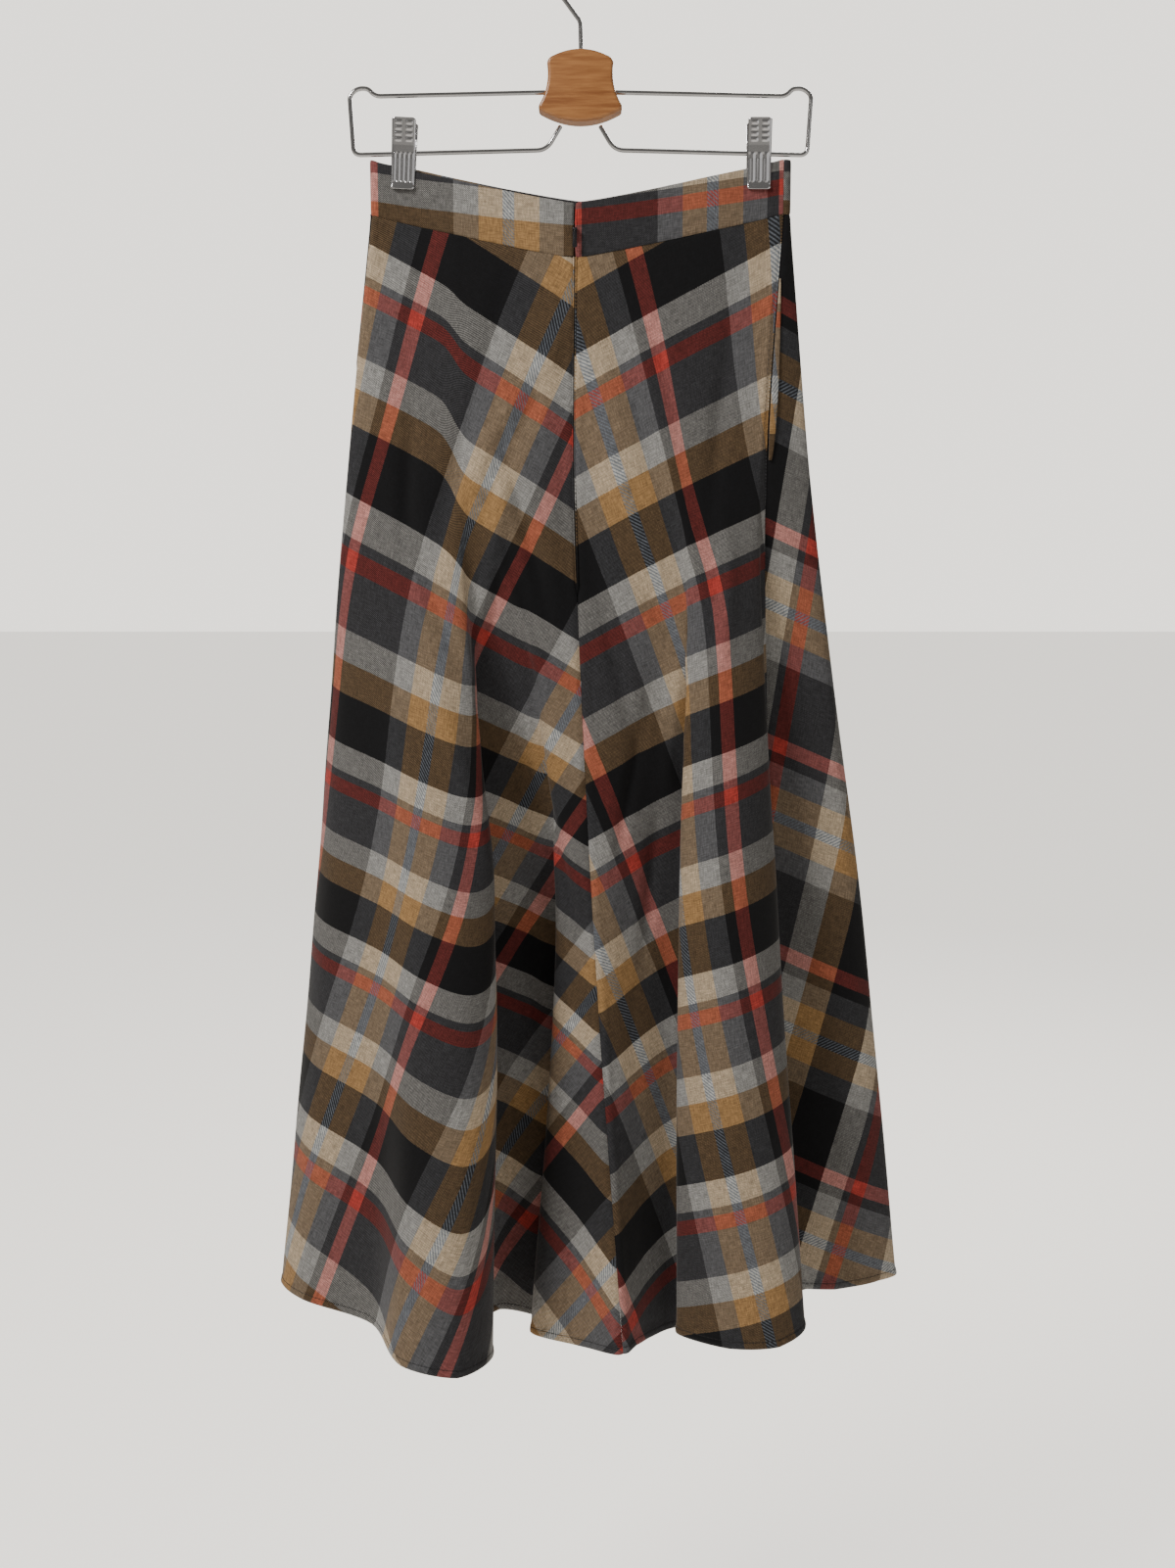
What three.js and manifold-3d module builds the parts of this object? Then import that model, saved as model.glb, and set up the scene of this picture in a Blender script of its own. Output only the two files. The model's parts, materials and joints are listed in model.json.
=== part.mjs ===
// A flared plaid maxi skirt, seen from its back, hung flat from a wooden and wire clip hanger.
// Millimetres, +Z up. X runs across the skirt, -Y is the back of the skirt, +Y is its front.
// The origin is the inner crest of the hanger's hook, where a rail holds it.
import * as THREE from 'three';
import Module from 'manifold-3d';
import { mergeVertices } from 'three/addons/utils/BufferGeometryUtils.js';

// Cloth sizes
const CLOTH = 1.4;
const BAND_CLOTH = 1.8;
const BAND_HEIGHT = 42;
const SEAM_GAP = 0.3;
const SKIRT_LENGTH = 922;
const HALF_WAIST = 165;
const WAIST_Z = -200;
const BACK_DIP = 35;
const FRONT_DIP = 30;
const ROWS = 18;
const BAND_ROWS = 2;
const STEPS_PER_SPAN = 2;

// How sharply the waist seam turns down from the sides
const DIP_POWER = 1.15;

// Pocket facing: where it starts and how long it is, as shares of the skirt's length, how far it lies
// from the side seam and how wide it is, in fold line spans, and its own thickness
const FACING = { top: 0.055, share: 0.155, rows: 8, away: 0.12, endWidth: 0.04, bowWidth: 0.3, thick: 1 };

// Heights of the four tabled sections, as shares of the skirt's length
const SECTION_AT = [0, 0.22, 0.6, 1];

// Zip sizes
const BAND_GAP = 5;
const ZIP_X = -4.5;
const ZIP_LENGTH = 300;
const CHAIN_WIDTH = 4;
const CHAIN_THICK = 1;
const CHAIN_SET_IN = 1.75;
const CHAIN_ROWS = 8;
const CHAIN_BELOW_BAND_TOP = 4;
const SLIDER = { width: 3.6, height: 9, depth: 4.9, z: -217, y: -11.5 };
const EAR = { width: 0.75, depth: 2.65, height: 2.4, y: -3.475 };
const HINGE = { y: -4.05, z: 2.4 };
const PULL = {
  width: 3.8, topWidth: 2.28, length: 14, thick: 0.9, barrel: 1.25, eye: 0.8, pin: 0.45,
  neck: 1.6, neckHeight: 4.6, neckZ: -2.9, plateTop: -4.4, setBack: 0.3, footRise: 6,
};

// Hanger sizes
const WIRE = 1.75;
const WIRE_SIDES = 8;
const HOOK_RADIUS = 21;
const HOOK_BEND_Z = -54;
const HOOK_TIP_ANGLE = -25;
const HOOK_STEPS = 26;
const BLOCK = { top: -76, depth: 18, round: 2 };
const CLIP = { width: 19, thick: 1.2 };
const SPRING = { radius: 4.6, length: 15, z: -146.5 };
const CLIPS = [
  { side: 'left', x: -140, tilt: 0.05 },
  { side: 'right', x: 142, tilt: 0 },
];

// Each row is one fold line of the skirt, in order round the cloth: first the back from its centre seam
// to the left side, then the front from left to right, then the back again from the right side.
// waist, hip, knee and hem are its place [x, y] at the four sections, and drop is how far the bias
// lets it fall below the level of the centre back.
const FOLDS = [
  { line: 'centreBack', waist: [-4.5, -10], hip: [-4.8, -9], knee: [10.6, -14], hem: [36, -38], drop: -12 },
  { line: 'leftRamp', waist: [-25, -9.5], hip: [-26, -13], knee: [-6, -6], hem: [0, -14], drop: -4 },
  { line: 'leftRampEdge', waist: [-42, -8.5], hip: [-44, -14], knee: [-21.6, 8], hem: [-44, 14], drop: 0 },
  { line: 'underRamp', waist: [-56, -8], hip: [-58, -14.5], knee: [-16, 20], hem: [-34, 32], drop: 0 },
  { line: 'valleyRight', waist: [-68, -7.5], hip: [-70, -14.5], knee: [-34, 24], hem: [-52, 42], drop: 0 },
  { line: 'valleyLeft', waist: [-80, -7], hip: [-82, -15], knee: [-58, 22], hem: [-74, 42], drop: 0 },
  { line: 'underLeft', waist: [-90, -6.5], hip: [-92, -15], knee: [-84, 0], hem: [-92, 8], drop: 4 },
  { line: 'leftFoldEdge', waist: [-100, -6], hip: [-102, -15.5],
    knee: [-71.5, -38], hem: [-75.5, -44], drop: 6 },
  { line: 'leftFoldCrest', waist: [-112, -4.2], hip: [-115, -15],
    knee: [-94, -54], hem: [-102, -78], drop: 10 },
  { line: 'leftStepTop', waist: [-129, -1.8], hip: [-138, -12.5],
    knee: [-130, -50], hem: [-150, -68], drop: 8 },
  { line: 'leftStepFoot', waist: [-152, -1.7], hip: [-162, -9],
    knee: [-165, -26], hem: [-180, -20], drop: 0 },
  { line: 'leftTurn', waist: [-164.2, -1.7], hip: [-184, -3], knee: [-214, 2], hem: [-250, 14], drop: -6 },
  { line: 'sideLeft', waist: [-166.8, 0], hip: [-191, 5], knee: [-226, 28], hem: [-268, 42], drop: -8 },
  { line: 'frontLeft1', waist: [-164.2, 1.7], hip: [-180, 13],
    knee: [-212, 40], hem: [-250, 60], drop: -4 },
  { line: 'frontLeft2', waist: [-130, 1.8], hip: [-150, 12], knee: [-176, 18], hem: [-205, 26], drop: 0 },
  { line: 'frontLeft3', waist: [-106, 3.5], hip: [-118, 14], knee: [-146, 38], hem: [-160, 60], drop: 2 },
  { line: 'frontLeft4', waist: [-80, 5], hip: [-88, 13], knee: [-112, 12], hem: [-122, 4], drop: 4 },
  { line: 'frontLeft5', waist: [-54, 6.5], hip: [-60, 14], knee: [-82, 40], hem: [-92, 62], drop: 2 },
  { line: 'frontLeft6', waist: [-27, 7.5], hip: [-30, 14.5], knee: [-42, 37], hem: [-44, 60], drop: 0 },
  { line: 'centreFront', waist: [0, 8], hip: [0, 14], knee: [0, 34], hem: [2, 54], drop: -4 },
  { line: 'frontRight1', waist: [27, 7.5], hip: [30, 14.5], knee: [38, 38], hem: [44, 62], drop: 0 },
  { line: 'frontRight2', waist: [54, 6.5], hip: [60, 14], knee: [80, 34], hem: [90, 50], drop: 2 },
  { line: 'frontRight3', waist: [80, 5], hip: [90, 14], knee: [120, 40], hem: [134, 62], drop: 4 },
  { line: 'frontRight4', waist: [106, 3.5], hip: [120, 14], knee: [160, 38], hem: [178, 54], drop: 2 },
  { line: 'frontRight5', waist: [130, 1.8], hip: [148, 13.5], knee: [198, 44], hem: [226, 64], drop: 0 },
  { line: 'rightTurn', waist: [164.4, 1.7], hip: [184, 11], knee: [240, 36], hem: [286, 57], drop: -6 },
  { line: 'rightFace', waist: [166.8, 0.2], hip: [187, 3], knee: [231, 26], hem: [268, 43], drop: -6 },
  { line: 'rightFace2', waist: [164.8, -1.6], hip: [172, -3], knee: [200, 24], hem: [228, 38], drop: 0 },
  { line: 'sideRight', waist: [161.8, -1.7], hip: [150.4, -7], knee: [163, 24], hem: [176, 38], drop: 0 },
  { line: 'rightReturn', waist: [158, -1.5], hip: [147, -8.5], knee: [149, 13], hem: [152, 22], drop: 0 },
  { line: 'rightFoldEdge', waist: [152, -1.6], hip: [143, -10.5],
    knee: [163.7, -13], hem: [192, -30], drop: 0 },
  { line: 'rightCrestRight', waist: [130, -1.8], hip: [130, -13],
    knee: [148, -33], hem: [168, -48], drop: 4 },
  { line: 'rightCrestLeft', waist: [116, -4], hip: [112, -15], knee: [116, -42], hem: [126, -44], drop: 4 },
  { line: 'rightFoldLeft', waist: [98, -6], hip: [92, -15.5], knee: [82, -18], hem: [83, -14], drop: 0 },
  { line: 'pleatInner', waist: [86, -6.7], hip: [80, -15], knee: [116, 0], hem: [136, -3], drop: 0 },
  { line: 'recess', waist: [70, -7.5], hip: [64, -14.5], knee: [74, 9], hem: [84, 8], drop: 0 },
  { line: 'recessNear', waist: [48, -8.5], hip: [46, -13], knee: [44, -2], hem: [62, -8], drop: -4 },
  { line: 'narrowFold', waist: [22, -9.5], hip: [20, -11], knee: [24, -12], hem: [48, -26], drop: -10 },
];
const SECTIONS = ['waist', 'hip', 'knee', 'hem'];

// The value at share t of a smooth curve through the four tabled values
function throughSections(values, t) {
  const last = SECTION_AT.length - 1;
  let i = 0;
  while (i < last - 1 && t > SECTION_AT[i + 1]) i += 1;
  const slope = (k) => {
    const a = Math.max(k - 1, 0);
    const b = Math.min(k + 1, last);
    return (values[b] - values[a]) / (SECTION_AT[b] - SECTION_AT[a]);
  };
  const span = SECTION_AT[i + 1] - SECTION_AT[i];
  const s = (t - SECTION_AT[i]) / span;
  const s2 = s * s;
  const s3 = s2 * s;
  return (2 * s3 - 3 * s2 + 1) * values[i] + (s3 - 2 * s2 + s) * span * slope(i)
    + (3 * s2 - 2 * s3) * values[i + 1] + (s3 - s2) * span * slope(i + 1);
}

// The height of the waist seam above a place on the waist section, lower in the middle than at the sides
function waistHeight(x, y) {
  const dip = y < 0 ? BACK_DIP : FRONT_DIP;
  const middle = y < 0 ? ZIP_X : 0;
  const away = Math.min(Math.abs(x - middle) / HALF_WAIST, 1);
  return WAIST_Z - dip * (1 - away ** DIP_POWER);
}

// The closed line of the cloth at share t of its length, through every fold line
function sectionCurve(t) {
  const nodes = FOLDS.map((fold) => {
    const x = throughSections(SECTIONS.map((name) => fold[name][0]), t);
    const y = throughSections(SECTIONS.map((name) => fold[name][1]), t);
    return new THREE.Vector3(x, y, 0);
  });
  return new THREE.CatmullRomCurve3(nodes, true, 'centripetal');
}

// One station of the cloth: its middle point and the level way out of the skirt.
// place counts fold lines round the skirt, and whole numbers are the lines themselves.
function station(curve, place, t) {
  const count = FOLDS.length;
  const u = (((place / count) % 1) + 1) % 1;
  const point = curve.getPoint(u);
  const ahead = curve.getPoint((u + 0.0008) % 1);
  const behind = curve.getPoint((u + 0.9992) % 1);
  const along = ahead.sub(behind).normalize();
  const out = new THREE.Vector3(-along.y, along.x, 0);
  const here = Math.floor(place) % count;
  const next = (here + 1) % count;
  const share = place - Math.floor(place);
  const mix = (pick) => pick(FOLDS[here]) * (1 - share) + pick(FOLDS[next]) * share;
  const top = waistHeight(mix((fold) => fold.waist[0]), mix((fold) => fold.waist[1]));
  point.z = top - t * SKIRT_LENGTH - mix((fold) => fold.drop) * t * t;
  return { point, out };
}

// Moves a row's end stations along the row, so that neighbouring pieces keep a seam gap
function trimEnds(row, gapStart, gapEnd) {
  const pull = (from, to, gap) => {
    const way = to.point.clone().sub(from.point).normalize();
    from.point.addScaledVector(way, gap);
  };
  pull(row[0], row[1], gapStart);
  pull(row[row.length - 1], row[row.length - 2], gapEnd);
  return row;
}

// A closed wall around rows of stations, thick to both sides of their middle points
function wall(rows, thick) {
  const across = rows[0].length;
  const down = rows.length;
  const positions = [];
  for (const side of [1, -1]) {
    for (const row of rows) {
      for (const { point, out } of row) {
        const p = point.clone().addScaledVector(out, (side * thick) / 2);
        positions.push(p.x, p.y, p.z);
      }
    }
  }
  const outer = (i, j) => i * across + j;
  const inner = (i, j) => down * across + i * across + j;
  const faces = [];
  const quad = (a, b, c, d) => faces.push(a, b, c, a, c, d);
  for (let i = 0; i + 1 < down; i += 1) {
    for (let j = 0; j + 1 < across; j += 1) {
      quad(outer(i, j), outer(i, j + 1), outer(i + 1, j + 1), outer(i + 1, j));
      quad(inner(i, j), inner(i + 1, j), inner(i + 1, j + 1), inner(i, j + 1));
    }
    quad(outer(i, 0), outer(i + 1, 0), inner(i + 1, 0), inner(i, 0));
    const e = across - 1;
    quad(outer(i, e), inner(i, e), inner(i + 1, e), outer(i + 1, e));
  }
  for (let j = 0; j + 1 < across; j += 1) {
    const e = down - 1;
    quad(outer(0, j), inner(0, j), inner(0, j + 1), outer(0, j + 1));
    quad(outer(e, j), outer(e, j + 1), inner(e, j + 1), inner(e, j));
  }
  return closedBody(positions, faces);
}

// A geometry of these faces, turned over if they were wound facing in
function closedBody(positions, faces) {
  let volume = 0;
  const at = (k) => new THREE.Vector3(positions[3 * k], positions[3 * k + 1], positions[3 * k + 2]);
  for (let f = 0; f < faces.length; f += 3) {
    volume += at(faces[f]).dot(at(faces[f + 1]).cross(at(faces[f + 2])));
  }
  if (volume < 0) {
    for (let f = 0; f < faces.length; f += 3) {
      [faces[f + 1], faces[f + 2]] = [faces[f + 2], faces[f + 1]];
    }
  }
  const geometry = new THREE.BufferGeometry();
  geometry.setAttribute('position', new THREE.Float32BufferAttribute(positions, 3));
  geometry.setIndex(faces);
  return geometry;
}

// The number of a fold line in the table
function foldIndex(line) {
  return FOLDS.findIndex((fold) => fold.line === line);
}

// The places of the stations from one fold line to another, going round the skirt
function placesBetween(first, last) {
  const start = foldIndex(first);
  let end = foldIndex(last);
  if (end <= start) end += FOLDS.length;
  const steps = (end - start) * STEPS_PER_SPAN;
  return Array.from({ length: steps + 1 }, (_, k) => start + k / STEPS_PER_SPAN);
}

// One skirt panel between two fold lines, from the waist seam to the hem
function panel(first, last) {
  const places = placesBetween(first, last);
  const rows = [];
  for (let i = 0; i <= ROWS; i += 1) {
    const t = i / ROWS;
    const curve = sectionCurve(t);
    rows.push(trimEnds(places.map((place) => station(curve, place, t)), SEAM_GAP / 2, SEAM_GAP / 2));
  }
  return wall(rows, CLOTH);
}

// One piece of the waistband: the waist section carried straight up by the band's height
function band(first, last, gapStart, gapEnd) {
  const places = placesBetween(first, last);
  const rows = [];
  for (let i = 0; i <= BAND_ROWS; i += 1) {
    const curve = sectionCurve(0);
    const row = trimEnds(places.map((place) => station(curve, place, 0)), gapStart, gapEnd);
    for (const { point } of row) point.z += SEAM_GAP + (BAND_HEIGHT * (BAND_ROWS - i)) / BAND_ROWS;
    rows.push(row);
  }
  return wall(rows, BAND_CLOTH);
}

// The facing strip in the opening of the side-seam pocket, laid on the front panel beside the seam
function pocketFacing() {
  const { top, share, rows: count, away, endWidth, bowWidth, thick } = FACING;
  const first = foldIndex('sideRight');
  const half = count / 2;
  const rows = [];
  for (let i = 0; i <= count; i += 1) {
    const t = top + share * (i / count);
    const curve = sectionCurve(t);
    const bow = Math.sqrt(1 - ((i - half) / (half + 0.2)) ** 2);
    const width = endWidth + bowWidth * bow;
    const row = [away + width, away + width / 2, away].map((back) => station(curve, first - back, t));
    for (const { point, out } of row) point.addScaledVector(out, CLOTH / 2 + SEAM_GAP + thick / 2);
    rows.push(row);
  }
  return wall(rows, thick);
}

// The zip's chain, a thin strip just inside the centre back seam
function zipChain() {
  const rows = [];
  const top = WAIST_Z - BACK_DIP + BAND_HEIGHT - CHAIN_BELOW_BAND_TOP;
  for (let i = 0; i <= CHAIN_ROWS; i += 1) {
    const z = top - (ZIP_LENGTH * i) / CHAIN_ROWS;
    const t = Math.max((WAIST_Z - BACK_DIP - z) / SKIRT_LENGTH, 0);
    const { point } = station(sectionCurve(t), 0, t);
    const row = [-1, 1].map((side) => {
      const place = new THREE.Vector3(point.x + (side * CHAIN_WIDTH) / 2, point.y + CHAIN_SET_IN, z);
      return { point: place, out: new THREE.Vector3(0, -1, 0) };
    });
    rows.push(row);
  }
  return wall(rows, CHAIN_THICK);
}

const wasm = await Module();
wasm.setup();

// A solid of a closed geometry, and the geometry of a solid
function toSolid(geometry) {
  const bare = geometry.clone();
  bare.deleteAttribute('normal');
  bare.deleteAttribute('uv');
  const merged = mergeVertices(bare, 1e-4);
  return new wasm.Manifold(new wasm.Mesh({
    numProp: 3,
    vertProperties: new Float32Array(merged.attributes.position.array),
    triVerts: new Uint32Array(merged.index.array),
  }));
}

function toGeometry(solid) {
  const mesh = solid.getMesh();
  return closedBody(Array.from(mesh.vertProperties), Array.from(mesh.triVerts));
}

// A box of this size about a middle point
function boxAt(width, depth, height, x, y, z) {
  const geometry = new THREE.BoxGeometry(width, depth, height);
  geometry.translate(x, y, z);
  return geometry;
}

// The slider: a body in the band's gap, with two ears that carry a cross pin
function zipSlider() {
  const { width, height, depth, y, z } = SLIDER;
  let solid = toSolid(boxAt(width, depth, height, 0, 0, 0));
  for (const side of [-1, 1]) {
    const x = (side * (width - EAR.width)) / 2;
    solid = solid.add(toSolid(boxAt(EAR.width, EAR.depth, EAR.height, x, EAR.y, HINGE.z)));
  }
  const pin = new THREE.CylinderGeometry(PULL.pin, PULL.pin, width - 0.2, 10);
  pin.rotateZ(Math.PI / 2);
  pin.translate(0, HINGE.y, HINGE.z);
  const geometry = toGeometry(solid.add(toSolid(pin)));
  geometry.translate(ZIP_X, y, z);
  return geometry;
}

// The pull tab: an eye round the pin, a narrow neck and a wider plate that hangs from it
function zipPull() {
  const { width, topWidth, length, thick, barrel, neck, neckHeight, neckZ } = PULL;
  const { plateTop, setBack, footRise } = PULL;
  const eye = new THREE.CylinderGeometry(barrel, barrel, neck, 16);
  eye.rotateZ(Math.PI / 2);
  const hole = new THREE.CylinderGeometry(PULL.eye, PULL.eye, 2 * neck, 16);
  hole.rotateZ(Math.PI / 2);
  const stem = boxAt(neck, thick, neckHeight, 0, -setBack, neckZ);
  const outline = new THREE.Shape();
  outline.moveTo(-topWidth / 2, 0);
  outline.lineTo(topWidth / 2, 0);
  outline.lineTo(width / 2, footRise - length);
  outline.absarc(0, footRise - length, width / 2, 0, -Math.PI, true);
  const plate = new THREE.ExtrudeGeometry(outline, { depth: thick, bevelEnabled: false, curveSegments: 10 });
  plate.rotateX(Math.PI / 2);
  plate.translate(0, thick / 2 - setBack, plateTop);
  const solid = toSolid(eye).add(toSolid(stem)).subtract(toSolid(hole)).add(toSolid(plate));
  const geometry = toGeometry(solid);
  geometry.translate(ZIP_X, SLIDER.y + HINGE.y, SLIDER.z + HINGE.z);
  return geometry;
}

// A round wire along points [x, z] in the hanger's plane, with flat ends
function wire(points) {
  const positions = [];
  const faces = [];
  points.forEach(([x, z], i) => {
    const [ax, az] = points[Math.max(i - 1, 0)];
    const [bx, bz] = points[Math.min(i + 1, points.length - 1)];
    const length = Math.hypot(bx - ax, bz - az);
    const normal = [-(bz - az) / length, (bx - ax) / length];
    for (let k = 0; k < WIRE_SIDES; k += 1) {
      const a = (2 * Math.PI * k) / WIRE_SIDES;
      const off = WIRE * Math.cos(a);
      positions.push(x + normal[0] * off, WIRE * Math.sin(a), z + normal[1] * off);
    }
  });
  const ring = (i, k) => i * WIRE_SIDES + (k % WIRE_SIDES);
  for (let i = 0; i + 1 < points.length; i += 1) {
    for (let k = 0; k < WIRE_SIDES; k += 1) {
      faces.push(ring(i, k), ring(i, k + 1), ring(i + 1, k + 1));
      faces.push(ring(i, k), ring(i + 1, k + 1), ring(i + 1, k));
    }
  }
  const end = points.length - 1;
  for (let k = 1; k + 1 < WIRE_SIDES; k += 1) {
    faces.push(ring(0, 0), ring(0, k + 1), ring(0, k));
    faces.push(ring(end, 0), ring(end, k), ring(end, k + 1));
  }
  return closedBody(positions, faces);
}

// The points of a bent line whose corners are rounded to their own radius
function roundedLine(corners) {
  const points = [[corners[0].x, corners[0].z]];
  for (let i = 1; i + 1 < corners.length; i += 1) {
    const here = new THREE.Vector2(corners[i].x, corners[i].z);
    const toward = (other) => new THREE.Vector2(other.x, other.z).sub(here).setLength(corners[i].round);
    const start = here.clone().add(toward(corners[i - 1]));
    const end = here.clone().add(toward(corners[i + 1]));
    const bend = new THREE.QuadraticBezierCurve(start, here, end);
    for (const p of bend.getPoints(4)) points.push([p.x, p.y]);
  }
  const last = corners[corners.length - 1];
  points.push([last.x, last.z]);
  return points;
}

// The hook: a straight neck, a bend, a slanting line and three quarters of a circle
function hook() {
  const centre = WIRE - HOOK_RADIUS;
  const reach = centre - HOOK_BEND_Z;
  const slant = Math.asin(HOOK_RADIUS / reach);
  const points = [[0.5, BLOCK.top + SEAM_GAP], [0.3, (BLOCK.top + HOOK_BEND_Z) / 2], [0, HOOK_BEND_Z]];
  const from = Math.PI + slant;
  const to = THREE.MathUtils.degToRad(HOOK_TIP_ANGLE);
  for (let i = 0; i <= HOOK_STEPS; i += 1) {
    const a = from + ((to - from) * i) / HOOK_STEPS;
    points.push([HOOK_RADIUS * Math.cos(a), centre + HOOK_RADIUS * Math.sin(a)]);
  }
  return wire(points);
}

// One half of the wire frame, from the block's side out to the corner and back to its underside
function wireFrame(side) {
  const s = side === 'left' ? -1 : 1;
  const corners = [
    { x: 28.4, z: -107 },
    { x: 163, z: -109.9, round: 5 },
    { x: 168, z: -104.2, round: 3 },
    { x: 176, z: -103.8, round: 4 },
    { x: 183, z: -109, round: 4 },
    { x: 180.4, z: -154.6, round: 6 },
    { x: 27, z: -150.8, round: 8 },
    { x: 16, z: -132.9 },
  ];
  const points = roundedLine(corners).map(([x, z]) => [s * x, z]);
  return wire(points);
}

// The wooden block's outline [x, z], right half, as curves that each have a bending point and an end
const BLOCK_START = [23, -81.8];
const BLOCK_CURVES = [
  { bend: [26.5, -84], end: [26, -88] },
  { bend: [24, -104], end: [32, -117] },
  { bend: [34.5, -121], end: [30.5, -123] },
];
const BLOCK_TOP_BEND = -70.2;
const BLOCK_FOOT_BEND = -139;

// The wooden block: bowed top, hollow sides, wide rounded foot
function block() {
  const shape = new THREE.Shape();
  const foot = BLOCK_CURVES[BLOCK_CURVES.length - 1].end;
  shape.moveTo(-BLOCK_START[0], BLOCK_START[1]);
  shape.quadraticCurveTo(0, BLOCK_TOP_BEND, ...BLOCK_START);
  for (const { bend, end } of BLOCK_CURVES) shape.quadraticCurveTo(...bend, ...end);
  shape.quadraticCurveTo(0, BLOCK_FOOT_BEND, -foot[0], foot[1]);
  const ends = [BLOCK_START, ...BLOCK_CURVES.map(({ end }) => end)];
  for (let i = BLOCK_CURVES.length - 1; i >= 0; i -= 1) {
    const { bend } = BLOCK_CURVES[i];
    shape.quadraticCurveTo(-bend[0], bend[1], -ends[i][0], ends[i][1]);
  }
  const { depth, round } = BLOCK;
  const geometry = new THREE.ExtrudeGeometry(shape, {
    depth: depth - 2 * round,
    bevelThickness: round,
    bevelSize: round,
    bevelOffset: -round,
    bevelSegments: 2,
    curveSegments: 6,
  });
  geometry.rotateX(Math.PI / 2);
  geometry.translate(0, depth / 2 - round, 0);
  return weld(geometry);
}

// Joins the points that lie on each other
function weld(geometry) {
  geometry.deleteAttribute('normal');
  geometry.deleteAttribute('uv');
  return mergeVertices(geometry, 1e-4);
}

// The inner side of a clip plate [y, z], from its squeezed top through the bend to the gripping lip
const CLIP_LINE = [[8.5, -128], [4.7, -148], [3.25, -158], [3.1, -178.5], [4.1, -181.5]];

// One pressed plate of a clip, on the side of the cloth that facing names
function clipPlate(facing) {
  const { width, thick } = CLIP;
  const inner = CLIP_LINE.map(([y, z]) => new THREE.Vector2(facing * y, z));
  const outer = CLIP_LINE.map(([y, z]) => new THREE.Vector2(facing * (y + thick), z)).reverse();
  const outline = new THREE.Shape([...inner, ...outer]);
  const geometry = new THREE.ExtrudeGeometry(outline, { depth: width, bevelEnabled: false });
  const position = geometry.attributes.position;
  for (let i = 0; i < position.count; i += 1) {
    position.setXYZ(i, position.getZ(i) - width / 2, position.getX(i), position.getY(i));
  }
  const welded = weld(geometry);
  return closedBody(Array.from(welded.attributes.position.array), Array.from(welded.index.array));
}

// Finishes
const wool = { color: 0x5a5652, roughness: 0.9, metalness: 0 };
const blackTape = { color: 0x1c1c20, roughness: 0.8, metalness: 0 };
const chrome = { color: 0xc9cbce, roughness: 0.2, metalness: 1 };
const darkMetal = { color: 0x2a2a2c, roughness: 0.4, metalness: 0.7 };
const cherry = { color: 0xb3733f, roughness: 0.45, metalness: 0 };

const skirt = new THREE.Group();

// Adds one named body with its finish
function add(name, geometry, finish, parent = skirt) {
  const mesh = new THREE.Mesh(geometry, new THREE.MeshStandardMaterial(finish));
  mesh.name = name;
  parent.add(mesh);
}

add('panel_back_left', panel('centreBack', 'sideLeft'), wool);
add('panel_front_left', panel('sideLeft', 'centreFront'), wool);
add('panel_front_right', panel('centreFront', 'sideRight'), wool);
add('panel_back_right', panel('sideRight', 'centreBack'), wool);
add('waistband_back_left', band('centreBack', 'sideLeft', BAND_GAP / 2, SEAM_GAP / 2), wool);
add('waistband_front', band('sideLeft', 'sideRight', SEAM_GAP / 2, SEAM_GAP / 2), wool);
add('waistband_back_right', band('sideRight', 'centreBack', SEAM_GAP / 2, BAND_GAP / 2), wool);
add('pocket_facing_right', pocketFacing(), wool);
add('zip_chain', zipChain(), blackTape);
add('zip_slider', zipSlider(), darkMetal);
add('zip_pull', zipPull(), darkMetal);
add('hanger_hook', hook(), chrome);
add('hanger_block', block(), cherry);
for (const side of ['left', 'right']) add(`hanger_wire_${side}`, wireFrame(side), chrome);

for (const { side, x, tilt } of CLIPS) {
  const clip = new THREE.Group();
  clip.position.set(x, 0, SPRING.z);
  clip.rotation.y = tilt;
  for (const [face, facing] of [['front', -1], ['back', 1]]) {
    const plate = clipPlate(facing);
    plate.translate(0, 0, -SPRING.z);
    add(`clip_${side}_${face}`, plate, chrome, clip);
  }
  const spring = new THREE.CylinderGeometry(SPRING.radius, SPRING.radius, SPRING.length, 14);
  spring.rotateZ(Math.PI / 2);
  add(`clip_${side}_spring`, weld(spring), chrome, clip);
  skirt.add(clip);
}

export default skirt;
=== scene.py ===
"""A flared plaid maxi skirt, seen from its back, hung flat from a wooden and wire clip hanger."""
import json
import logging
import math
from dataclasses import dataclass, field
from enum import Enum

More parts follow.
